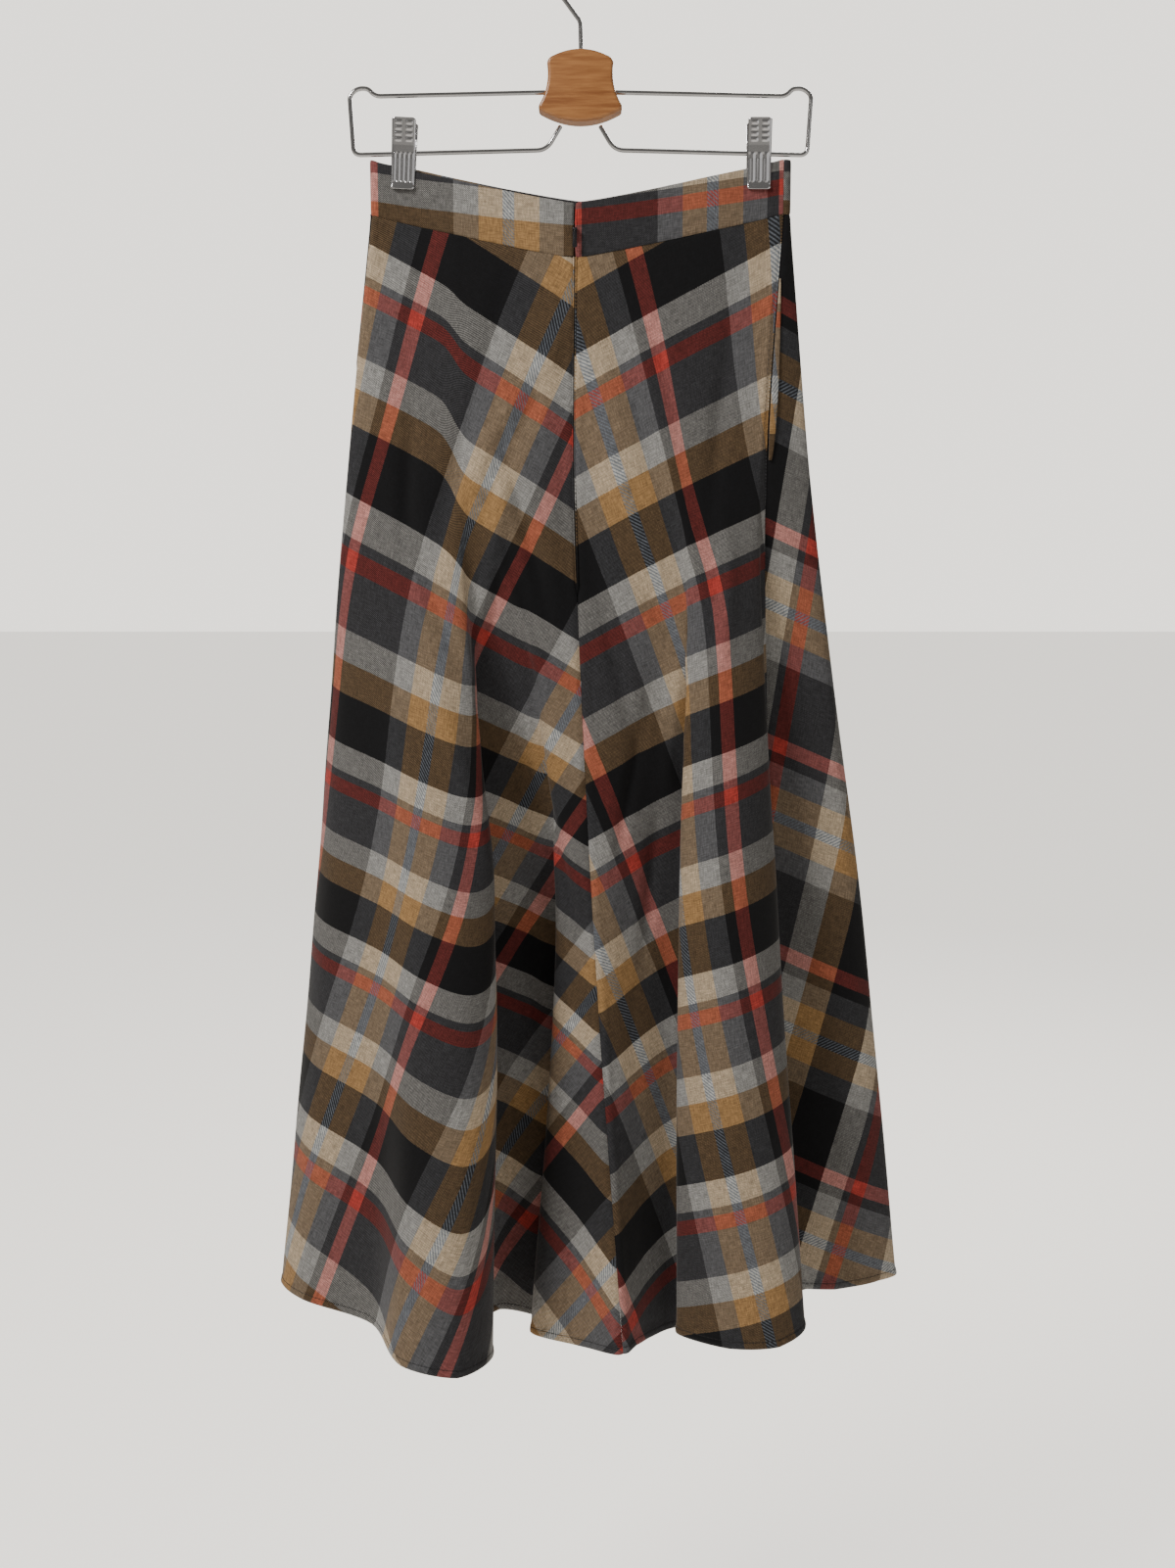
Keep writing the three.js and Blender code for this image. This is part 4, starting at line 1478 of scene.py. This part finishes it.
def moved(shape: tuple[np.ndarray, list], by: tuple[float, float, float]) -> tuple[np.ndarray, list]:
    """Moves points, and keeps their faces."""
    return shape[0] + by, shape[1]


def join_parts(parts: list) -> tuple[np.ndarray, list]:
    """Puts several lots of points and faces into one.

    Args:
        parts: pairs of points and faces.

    Returns:
        All the points, and all the faces with their numbers carried on.
    """
    verts = []
    faces = []
    count = 0
    for points, polygons in parts:
        verts.append(np.asarray(points, dtype=float))
        faces += [[count + k for k in polygon] for polygon in polygons]
        count += len(points)
    return np.concatenate(verts), faces


def smooth_loop(corners: list, steps: int, soften: float = 0.28) -> np.ndarray:
    """Draws a closed line with softened corners.

    Args:
        corners: points [x, z], in order.
        steps: points on each softened corner.
        soften: how much of each side its corners take.

    Returns:
        The line's points.
    """
    corners = np.asarray(corners, dtype=float)
    line = []
    for k, here in enumerate(corners):
        before = here + (corners[k - 1] - here) * soften
        ahead = here + (corners[(k + 1) % len(corners)] - here) * soften
        line += bent(before, here, ahead, np.linspace(0, 1, steps))
    return np.array(line)


def bent_line(corners: list, steps: int = 10) -> np.ndarray:
    """Draws a line whose corners are rounded, each by its own amount.

    Args:
        corners: [x, z, round] rows.
        steps: points on each corner.

    Returns:
        Points [x, z].
    """
    corners = np.asarray(corners, dtype=float)
    line = [corners[0, :2]]
    for before, here, ahead in zip(corners[:-2], corners[1:-1], corners[2:]):
        ends = []
        for other in (before, ahead):
            way = other[:2] - here[:2]
            ends.append(here[:2] + way / np.linalg.norm(way) * here[2])
        line += bent(ends[0], here[:2], ends[1], np.linspace(0, 1, steps))
    line.append(corners[-1, :2])
    return np.array(line)


@dataclass
class Zip:
    """The concealed zip at the centre back: tape, coil, slider and pull tab.

    A tooth starts tooth_back on the far side of the middle, and ends tooth_reach out on its own side and
    tooth_rise higher. The tape runs tape_above over the coil's top and tape_below under its end,
    tape_behind behind it, and tape_half is half its width, as a share of the step between fold lines.
    """

    form: SkirtForm
    finishes: Finishes
    top: float = -197.0
    length: float = 300.0
    set_in: float = 1.75
    tooth_pitch: float = 1.15
    tooth_reach: float = 1.5
    tooth_back: float = 0.4
    tooth_rise: float = 0.35
    tooth_radius: float = 0.42
    tape_half: float = 0.5
    tape_above: float = 1.0
    tape_below: float = 3.0
    tape_behind: float = 0.65
    tape_thick: float = 0.45
    tape_rows: int = 90
    tape_columns: int = 13
    slider_y: float = -11.5
    slider_z: float = -217.0
    slider: tuple[float, float, float] = (3.6, 4.9, 9.0)
    ear_x: float = 1.42
    ear_out: float = 1.02
    ear: tuple = ((-0.36, -1.2), (0.36, -1.2), (0.36, 1.2), (-0.36, 1.2))
    ear_depth: float = 2.65
    pin_half: float = 1.7
    pin_radius: float = 0.45
    hinge_y: float = -15.55
    hinge_z: float = -214.6
    eye: tuple = ((-0.8, 0.8), (-0.8, 1.1), (-0.65, 1.25), (0.65, 1.25), (0.8, 1.1), (0.8, 0.8))
    eye_sides: int = 24
    tab: tuple = (
        (-0.8, -1.05), (0.8, -1.05), (0.8, -4.4), (1.14, -4.6), (1.9, -11.6), (1.6, -13.2),
        (0.9, -14.1), (-0.9, -14.1), (-1.6, -13.2), (-1.9, -11.6), (-1.14, -4.6), (-0.8, -4.4),
    )
    tab_ridge: tuple = ((-0.85, -6.4), (0.85, -6.4), (1.15, -12.0), (-1.15, -12.0))
    tab_out: float = 0.3

    def down_seam(self, z: np.ndarray, place: float = 0.0) -> np.ndarray:
        """Finds the places beside the centre back seam, carried straight up above the waist.

        Args:
            z: heights.
            place: how far beside the seam, in steps between fold lines.

        Returns:
            One point for each height.
        """
        waist = self.form.waist_z - self.form.back_dip
        below = np.maximum(waist - z, 0) / self.form.length
        row = self.form.points(below, np.array([place % len(FOLDS)]))[:, 0]
        row[:, 2] = z
        return row

    def coil(self) -> None:
        """Builds the coil, as a row of small rounded teeth."""
        count = int(self.length / self.tooth_pitch)
        z = self.top - self.tooth_pitch * np.arange(count)
        parts = []
        for k, centre in enumerate(self.down_seam(z)):
            side = 1 if k % 2 else -1
            start = centre + (side * -self.tooth_back, self.set_in, 0)
            end = centre + (side * self.tooth_reach, self.set_in, self.tooth_rise)
            parts.append(tube(np.linspace(start, end, 3), self.tooth_radius, 8, 2))
        piece = mesh_piece("zip_coil", *join_parts(parts), BODY)
        dress(piece, self.finishes.tape)
        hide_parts("zip_chain")

    def tape(self) -> None:
        """Builds the tape behind the coil, following the inside of both back panels."""
        z = np.linspace(self.top + self.tape_above, self.top - self.length - self.tape_below, self.tape_rows)
        across = np.linspace(-self.tape_half, self.tape_half, self.tape_columns)
        grid = np.stack([self.down_seam(z, place) for place in across], axis=1)
        normals = outside_normals(grid, True)
        grid = grid - normals * (self.set_in + self.tape_behind)
        uv = np.zeros(grid.shape[:2] + (2,))
        piece = cloth_shell("zip_tape_strip", grid, normals, np.array(self.tape_thick), uv)
        dress(piece, self.finishes.tape)

    def build_slider(self) -> None:
        """Builds the slider with its two ears and cross pin."""
        width, depth, height = self.slider
        x = self.form.zip_x
        side = width / 2
        end = height / 2
        outline = [
            (-side * 0.72, -end), (side * 0.72, -end), (side, -end + 1.6), (side, end - 2.4),
            (side * 0.8, end), (-side * 0.8, end), (-side, end - 2.4), (-side, -end + 1.6),
        ]
        body = rounded_slab(smooth_loop(outline, 5), depth, 0.6)
        parts = [moved(body, (x, self.slider_y, self.slider_z))]
        ear = rounded_slab(smooth_loop(self.ear, 3), self.ear_depth, 0.25)
        ear_y = self.slider_y - depth / 2 - self.ear_out
        for way in (-1, 1):
            parts.append(moved(ear, (x + way * self.ear_x, ear_y, self.hinge_z)))
        ends = [(x + way * self.pin_half, self.hinge_y, self.hinge_z) for way in (-1, 1)]
        parts.append(tube(np.linspace(*ends, 4), self.pin_radius, 12))
        piece = mesh_piece("zip_slider_body", *join_parts(parts), BODY)
        dress(piece, self.finishes.enamel)
        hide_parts("zip_slider")

    def build_pull(self) -> None:
        """Builds the pull tab: an eye round the pin, a neck and a rounded plate."""
        centre = (self.form.zip_x, self.hinge_y, self.hinge_z)
        turns = np.linspace(0, 2 * math.pi, self.eye_sides + 1)[:-1]
        circle = np.stack([np.zeros(self.eye_sides), np.cos(turns), np.sin(turns)], axis=1)
        verts = np.concatenate([(x, 0, 0) + radius * circle for x, radius in self.eye])
        number = np.arange(len(verts)).reshape(len(self.eye), self.eye_sides)
        after = np.roll(number, -1, axis=1)
        below = np.roll(number, -1, axis=0)
        faces = np.stack([number, after, np.roll(after, -1, axis=0), below], axis=-1).reshape(-1, 4).tolist()
        plate = rounded_slab(smooth_loop(self.tab, 4), 0.9, 0.3)
        ridge = rounded_slab(smooth_loop(self.tab_ridge, 6), 1.25, 0.4)
        out = (0, -self.tab_out, 0)
        points, polygons = join_parts([(verts, faces), moved(plate, out), moved(ridge, out)])
        piece = mesh_piece("zip_pull_tab", points + centre, polygons, PULL_BODY)
        dress(piece, self.finishes.enamel)
        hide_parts("zip_pull")

    def build(self) -> None:
        """Builds the zip."""
        self.coil()
        self.tape()
        self.build_slider()
        self.build_pull()


@dataclass
class Hanger:
    """The hanger's hook, wooden block and bent wire frame."""

    finishes: Finishes
    wire: float = 1.75
    hook_radius: float = 21.0
    bend_z: float = -54.0
    tip_angle: float = -25.0
    neck: tuple = ((0.4, -70.0), (0.3, -65.0), (0.2, -60.0), (0.02, -55.4), (-0.9, -52.5))
    block_top: float = -76.0
    block_depth: float = 18.0
    block_curves: tuple = (
        ((-23, -81.8), (0, -70.2), (23, -81.8)),
        ((23, -81.8), (26.5, -84), (26, -88)),
        ((26, -88), (24, -104), (32, -117)),
        ((32, -117), (34.5, -121), (30.5, -123)),
        ((30.5, -123), (0, -139), (-30.5, -123)),
        ((-30.5, -123), (-34.5, -121), (-32, -117)),
        ((-32, -117), (-24, -104), (-26, -88)),
        ((-26, -88), (-26.5, -84), (-23, -81.8)),
    )
    frame_corners: tuple = (
        (28.4, -107, 0), (163, -109.9, 5), (168, -104.2, 3), (176, -103.8, 4), (183, -109, 4),
        (180.4, -154.6, 6), (27, -150.8, 8), (16, -132.9, 0),
    )

    def in_plane(self, line: np.ndarray) -> np.ndarray:
        """Puts [x, z] points in the hanger's plane."""
        return np.stack([line[:, 0], np.zeros(len(line)), line[:, 1]], axis=1)

    def build_hook(self) -> None:
        """Builds the hook."""
        centre = self.wire - self.hook_radius
        slant = math.asin(self.hook_radius / (centre - self.bend_z))
        arc = np.linspace(math.pi + slant, math.radians(self.tip_angle), 72)
        line = [(0.5, self.block_top + 0.3), *self.neck]
        line += [(self.hook_radius * math.cos(a), centre + self.hook_radius * math.sin(a)) for a in arc]
        piece = mesh_piece("hook_wire", *tube(self.in_plane(np.array(line)), self.wire, 20, 5), BODY)
        dress(piece, self.finishes.chrome)
        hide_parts("hanger_hook")

    def build_frame(self) -> None:
        """Builds the frame's two halves."""
        for side, sign in (("left", -1), ("right", 1)):
            line = bent_line(self.frame_corners) * (sign, 1)
            piece = mesh_piece(f"frame_wire_{side}", *tube(self.in_plane(line), self.wire, 20, 4), BODY)
            dress(piece, self.finishes.chrome)
            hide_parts(f"hanger_wire_{side}")

    def build_block(self) -> None:
        """Builds the wooden block, with its bowed ends and hollow sides."""
        shares = np.linspace(0, 1, 14, endpoint=False)
        line = [point for curve in self.block_curves for point in bent(*map(np.array, curve), shares)]
        block = rounded_slab(np.array(line), self.block_depth, 2.6, 6)
        piece = mesh_piece("wooden_block", *block, BODY)
        dress(piece, self.finishes.wood)
        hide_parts("hanger_block")

    def build(self) -> None:
        """Builds the hanger."""
        self.build_hook()
        self.build_frame()
        self.build_block()


@dataclass
class Clip:
    """A sprung clip: two pressed steel plates with grips and ribs, and a coil spring between them.

    profile gives a plate's distance from the hanger's middle plane and its height, from its top down. The
    ribs run from rib_top to rib_bottom. The grip has rows of bumps down from bump_top, bump_x to each
    side. bump_across and bump_down each give how flat a bump's top is, and how far its side slopes.
    side_turn is how far the plate's long edges turn in.
    """

    side: str
    x: float
    tilt: float
    ribs: int
    finishes: Finishes
    width: float = 19.0
    thick: float = 1.2
    spring_z: float = -146.5
    spring_radius: float = 3.9
    spring_wire: float = 0.65
    spring_length: float = 13.6
    spring_turns: float = 8.5
    spring_points: int = 220
    pin_half: float = 9.2
    pin_radius: float = 1.2
    profile: tuple = ((8.5, -128), (4.7, -148), (3.25, -158), (3.1, -178.5), (4.1, -181.5))
    rows: int = 112
    columns: int = 49
    corner: float = 1.6
    side_turn: float = 1.0
    rib_top: float = -153.5
    rib_bottom: float = -176.5
    rib_height: float = 0.42
    rib_fade: float = 1.2
    rib_spread: float = 0.88
    rib_limit: float = 0.9
    bump_rows: int = 4
    bump_top: float = -131.6
    bump_step: float = 4.2
    bump_x: float = 4.3
    bump_height: float = 0.55
    bump_across: tuple[float, float] = (1.6, 1.75)
    bump_down: tuple[float, float] = (1.7, 0.85)
    lip_z: float = -179.6
    lip_height: float = 0.5
    lip_width: float = 0.9
    lug: tuple = ((0.2, -4.2), (4.4, -3.0), (4.4, 3.0), (0.2, 4.2))
    lug_in: float = 0.55
    lug_out: float = 0.6

    def place(self, points: np.ndarray) -> np.ndarray:
        """Turns the clip's own points to where it hangs on the wire.

        Args:
            points: points of the clip standing upright at x = 0.

        Returns:
            The turned points.
        """
        rise = points[:, 2] - self.spring_z
        turned = points.copy()
        turned[:, 0] = self.x + points[:, 0] * math.cos(self.tilt) + rise * math.sin(self.tilt)
        turned[:, 2] = self.spring_z - points[:, 0] * math.sin(self.tilt) + rise * math.cos(self.tilt)
        return turned

    def plate(self, facing: int) -> tuple[np.ndarray, list]:
        """Makes one pressed plate.

        Args:
            facing: -1 towards the skirt's back, 1 towards its front.

        Returns:
            Points and faces.
        """
        profile = np.array(self.profile)
        lengths = arc_lengths(profile)
        down = np.linspace(0, lengths[-1], self.rows)
        y = np.interp(down, lengths, profile[:, 0])
        z = np.interp(down, lengths, profile[:, 1])
        u = np.linspace(-1, 1, self.columns)
        edge = np.minimum(down, lengths[-1] - down)
        half = self.width / 2 - self.corner * np.maximum(1 - edge / self.corner, 0) ** 2
        x = u[None] * half[:, None]
        soft = np.clip(np.minimum(z - self.rib_bottom, self.rib_top - z) / self.rib_fade, 0, 1)
        wave = np.cos(u * self.rib_spread * math.pi * self.ribs) * (np.abs(u) < self.rib_limit)
        press = self.rib_height * soft[:, None] * wave[None]
        flat_x, fade_x = self.bump_across
        flat_z, fade_z = self.bump_down
        for row in range(self.bump_rows):
            for column in (-1, 1):
                over_x = np.clip(flat_x - np.abs(x - column * self.bump_x) / fade_x, 0, 1)
                below_top = z[:, None] - self.bump_top + row * self.bump_step
                over_z = np.clip(flat_z - np.abs(below_top) / fade_z, 0, 1)
                press += self.bump_height * np.sqrt(over_x) * np.sqrt(over_z)
        lip = self.lip_height * bell(z, self.lip_z, self.lip_width)
        outer = y[:, None] + self.thick + press + lip[:, None] - self.side_turn * np.abs(u[None]) ** 12
        inner = y[:, None] + 0 * u[None]
        height = z[:, None] + 0 * x
        grids = [np.stack([x, facing * out, height], axis=-1).reshape(-1, 3) for out in (outer, inner)]
        return np.concatenate(grids), shell_faces(len(down), len(u))

    def ears(self, facing: int) -> list:
        """Makes the two small side lugs that hold a plate to the spring.

        Args:
            facing: -1 towards the skirt's back, 1 towards its front.

        Returns:
            Points and faces of each lug.
        """
        verts, faces = rounded_slab(smooth_loop(self.lug, 6), 0.9, 0.3, 2)
        lugs = []
        for side in (-1, 1):
            across = verts[:, 1] + side * (self.width / 2 - self.lug_in)
            turned = np.stack([across, facing * (verts[:, 0] + self.lug_out), verts[:, 2]], axis=1)
            lugs.append(moved((turned, faces), (0, 0, self.spring_z)))
        return lugs

    def build(self) -> None:
        """Builds the clip."""
        for face, facing in (("front", -1), ("back", 1)):
            verts, faces = join_parts([self.plate(facing), *self.ears(facing)])
            piece = mesh_piece(f"clip_plate_{self.side}_{face}", self.place(verts), faces, BODY)
            dress(piece, self.finishes.clip_chrome)
            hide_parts(f"clip_{self.side}_{face}")
        turns = np.linspace(0, 2 * math.pi * self.spring_turns, self.spring_points)
        coil = np.stack([
            np.linspace(-self.spring_length / 2, self.spring_length / 2, self.spring_points),
            self.spring_radius * np.cos(turns),
            self.spring_radius * np.sin(turns) + self.spring_z,
        ], axis=1)
        pin = np.linspace((-self.pin_half, 0, self.spring_z), (self.pin_half, 0, self.spring_z), 5)
        verts, faces = join_parts([tube(coil, self.spring_wire, 8), tube(pin, self.pin_radius, 14)])
        piece = mesh_piece(f"clip_spring_coil_{self.side}", self.place(verts), faces, BODY)
        dress(piece, self.finishes.clip_chrome)
        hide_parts(f"clip_{self.side}_spring")


@dataclass
class Stitching:
    """The thread lines on the cloth, each built as single stitches that dip into the cloth at their ends.

    hem_above is the hem line's height over the edge, and a lift is how far the thread lies over the
    cloth's own face. The pocket's line runs from mouth_top to mouth_end below the waist seam, mouth_in
    from the side seam.
    """

    finishes: Finishes
    pitch: float = 3.6
    bite: float = 2.9
    radius: float = 0.17
    dip: tuple[float, ...] = (0.35, 0.06, 0, 0, 0.06, 0.35)
    hem_above: float = 6.0
    hem_lift: float = 0.95
    mouth_top: float = 48.0
    mouth_end: float = 196.0
    mouth_in: float = 3.2
    mouth_lift: float = 0.08

    def along(self, line: np.ndarray, out: np.ndarray, lift: float) -> list:
        """Sews stitches along a line on the cloth.

        Args:
            line: points on the cloth's middle.
            out: unit normals there.
            lift: how far the thread's middle lies above the cloth's middle.

        Returns:
            Points and faces of each stitch.
        """
        arcs = arc_lengths(line)
        stitches = []
        for start in np.arange(1.0, arcs[-1] - self.bite, self.pitch):
            at = start + self.bite * np.linspace(0, 1, len(self.dip))
            centre, way = (
                np.stack([np.interp(at, arcs, values[:, k]) for k in range(3)], axis=1)
                for values in (line, out)
            )
            way /= np.linalg.norm(way, axis=1, keepdims=True)
            stitches.append(tube(centre + way * (lift - np.array(self.dip))[:, None], self.radius, 6, 1))
        return stitches

    def hem(self, made: list[Panel]) -> None:
        """Sews the hem line above the lower edge of every panel.

        Args:
            made: the panels, already built.
        """
        parts = []
        for panel in made:
            row = int(np.argmin(np.abs((1 - panel.levels) * panel.form.length - self.hem_above)))
            parts += self.along(panel.grid[row], panel.normals[row], panel.thick / 2 + self.hem_lift)
        self.sew("hem_stitches", parts)

    def pocket(self, made: list[Panel]) -> None:
        """Sews the edge of the pocket's mouth, beside the side seam of the right back panel.

        Args:
            made: the panels, already built.
        """
        panel = next(panel for panel in made if panel.centre is Centre.BACK_RIGHT)
        below = panel.levels * panel.form.length
        rows = np.where((below > self.mouth_top) & (below < self.mouth_end))[0]
        arcs = panel.arcs[rows]
        columns = np.argmin(np.abs(arcs[:, -1:] - self.mouth_in - arcs), axis=1)
        line, out = panel.grid[rows, columns], panel.normals[rows, columns]
        self.sew("pocket_stitches", self.along(line, out, panel.thick / 2 + self.mouth_lift))

    def sew(self, name: str, parts: list) -> None:
        """Makes one piece of thread from its stitches."""
        piece = mesh_piece(name, *join_parts(parts), BODY)
        dress(piece, self.finishes.thread)


@dataclass
class Studio:
    """The floor, lights and camera.

    pale is the colour of the world and of the floor's glow. backdrop_light and floor_glow are their
    strengths where they are seen, and room_light and floor_bounce are what they cast on the skirt. A
    lamp is its name, place, size, power and colour, and all face the middle of the skirt, at aim_z.
    """

    floor_z: float = -1.62
    floor_half: float = 30.0
    floor_colour: tuple = (0.86, 0.83, 0.78, 1)
    floor_roughness: float = 0.9
    pale: tuple = (0.95, 0.91, 0.845, 1)
    distance: float = 1.332
    height: float = -0.484
    side: float = 0.0056
    pitch: float = 7.5
    focal_px: float = 1639.0
    frame_px: float = 1601.0
    sensor: float = 36.0
    backdrop_light: float = 2.05
    room_light: float = 0.16
    floor_glow: float = 1.36
    floor_bounce: float = 0.22
    aim_z: float = -0.6
    lamps: tuple = (
        ("key", (-1.7, -1.5, 1.3), 0.8, 62, (1.0, 0.965, 0.925)),
        ("fill", (1.9, -1.8, -0.3), 1.8, 5, (1.0, 0.98, 0.96)),
        ("behind", (0.9, 2.2, 0.9), 1.2, 50, (1.0, 0.98, 0.95)),
    )

    def floor(self) -> None:
        """Lays a plain pale floor."""
        mesh = bpy.data.meshes.new("floor")
        corners = [(x * self.floor_half, y * self.floor_half, self.floor_z)
                   for x, y in ((-1, -1), (1, -1), (1, 1), (-1, 1))]
        mesh.from_pydata(corners, [], [(0, 1, 2, 3)])
        floor = add_object("floor", mesh)
        material, nodes, shader = new_material("pale_floor")
        shader.inputs["Base Color"].default_value = self.floor_colour
        shader.inputs["Roughness"].default_value = self.floor_roughness
        shader.inputs["Emission Color"].default_value = self.pale
        nodes.glow(self.floor_glow, self.floor_bounce, shader.inputs["Emission Strength"])
        mesh.materials.append(material)

    def light(self, name: str, place: tuple, size: float, power: float, colour: tuple) -> None:
        """Adds a soft area light that faces the skirt.

        Args:
            name: the light's name.
            place: where it is, in metres.
            size: its width and height, in metres.
            power: its power, in watts.
            colour: its colour.
        """
        lamp = bpy.data.lights.new(name, "AREA")
        lamp.shape = "SQUARE"
        lamp.size = size
        lamp.energy = power
        lamp.color = colour
        thing = add_object(name, lamp)
        thing.location = place
        aim = np.array([0.0, 0.0, self.aim_z]) - np.array(place)
        flat = math.hypot(aim[0], aim[1])
        thing.rotation_euler = (math.pi / 2 + math.atan2(aim[2], flat), 0, math.atan2(-aim[0], aim[1]))

    def camera(self) -> None:
        """Sets the camera at the photograph's angle."""
        data = bpy.data.cameras.new("camera")
        data.sensor_width = self.sensor
        data.lens = self.sensor * self.focal_px / self.frame_px
        thing = add_object("camera", data)
        thing.location = (self.side, -self.distance, self.height)
        thing.rotation_euler = (math.radians(90 - self.pitch), 0, 0)
        bpy.context.scene.camera = thing

    def build(self) -> None:
        """Builds the studio."""
        self.camera()
        self.floor()
        for lamp in self.lamps:
            self.light(*lamp)
        world = bpy.data.worlds.new("world")
        world.use_nodes = True
        backdrop = world.node_tree.nodes["Background"]
        backdrop.inputs[0].default_value = self.pale
        Nodes(world.node_tree).glow(self.backdrop_light, self.room_light, backdrop.inputs[1])
        bpy.context.scene.world = world


def main() -> None:
    """Builds the skirt, its hanger and the studio in order."""
    Studio().build()
    finishes = Finishes().build()
    form = SkirtForm()
    made = panels(form)
    for panel in made:
        panel.build(finishes)
    Waistband(form, finishes).build()
    PocketFacing(form, finishes).build()
    Zip(form, finishes).build()
    sewing = Stitching(finishes)
    sewing.hem(made)
    sewing.pocket(made)
    Hanger(finishes).build()
    for side, x, tilt, ribs in (("left", -140.0, 0.05, 6), ("right", 142.0, 0.0, 4)):
        Clip(side, x, tilt, ribs, finishes).build()
    for piece in bpy.context.scene.objects:
        if piece.type == "MESH":
            log.info("%s: %d faces", piece.name, len(piece.data.polygons))


if __name__ == "__main__":
    main()
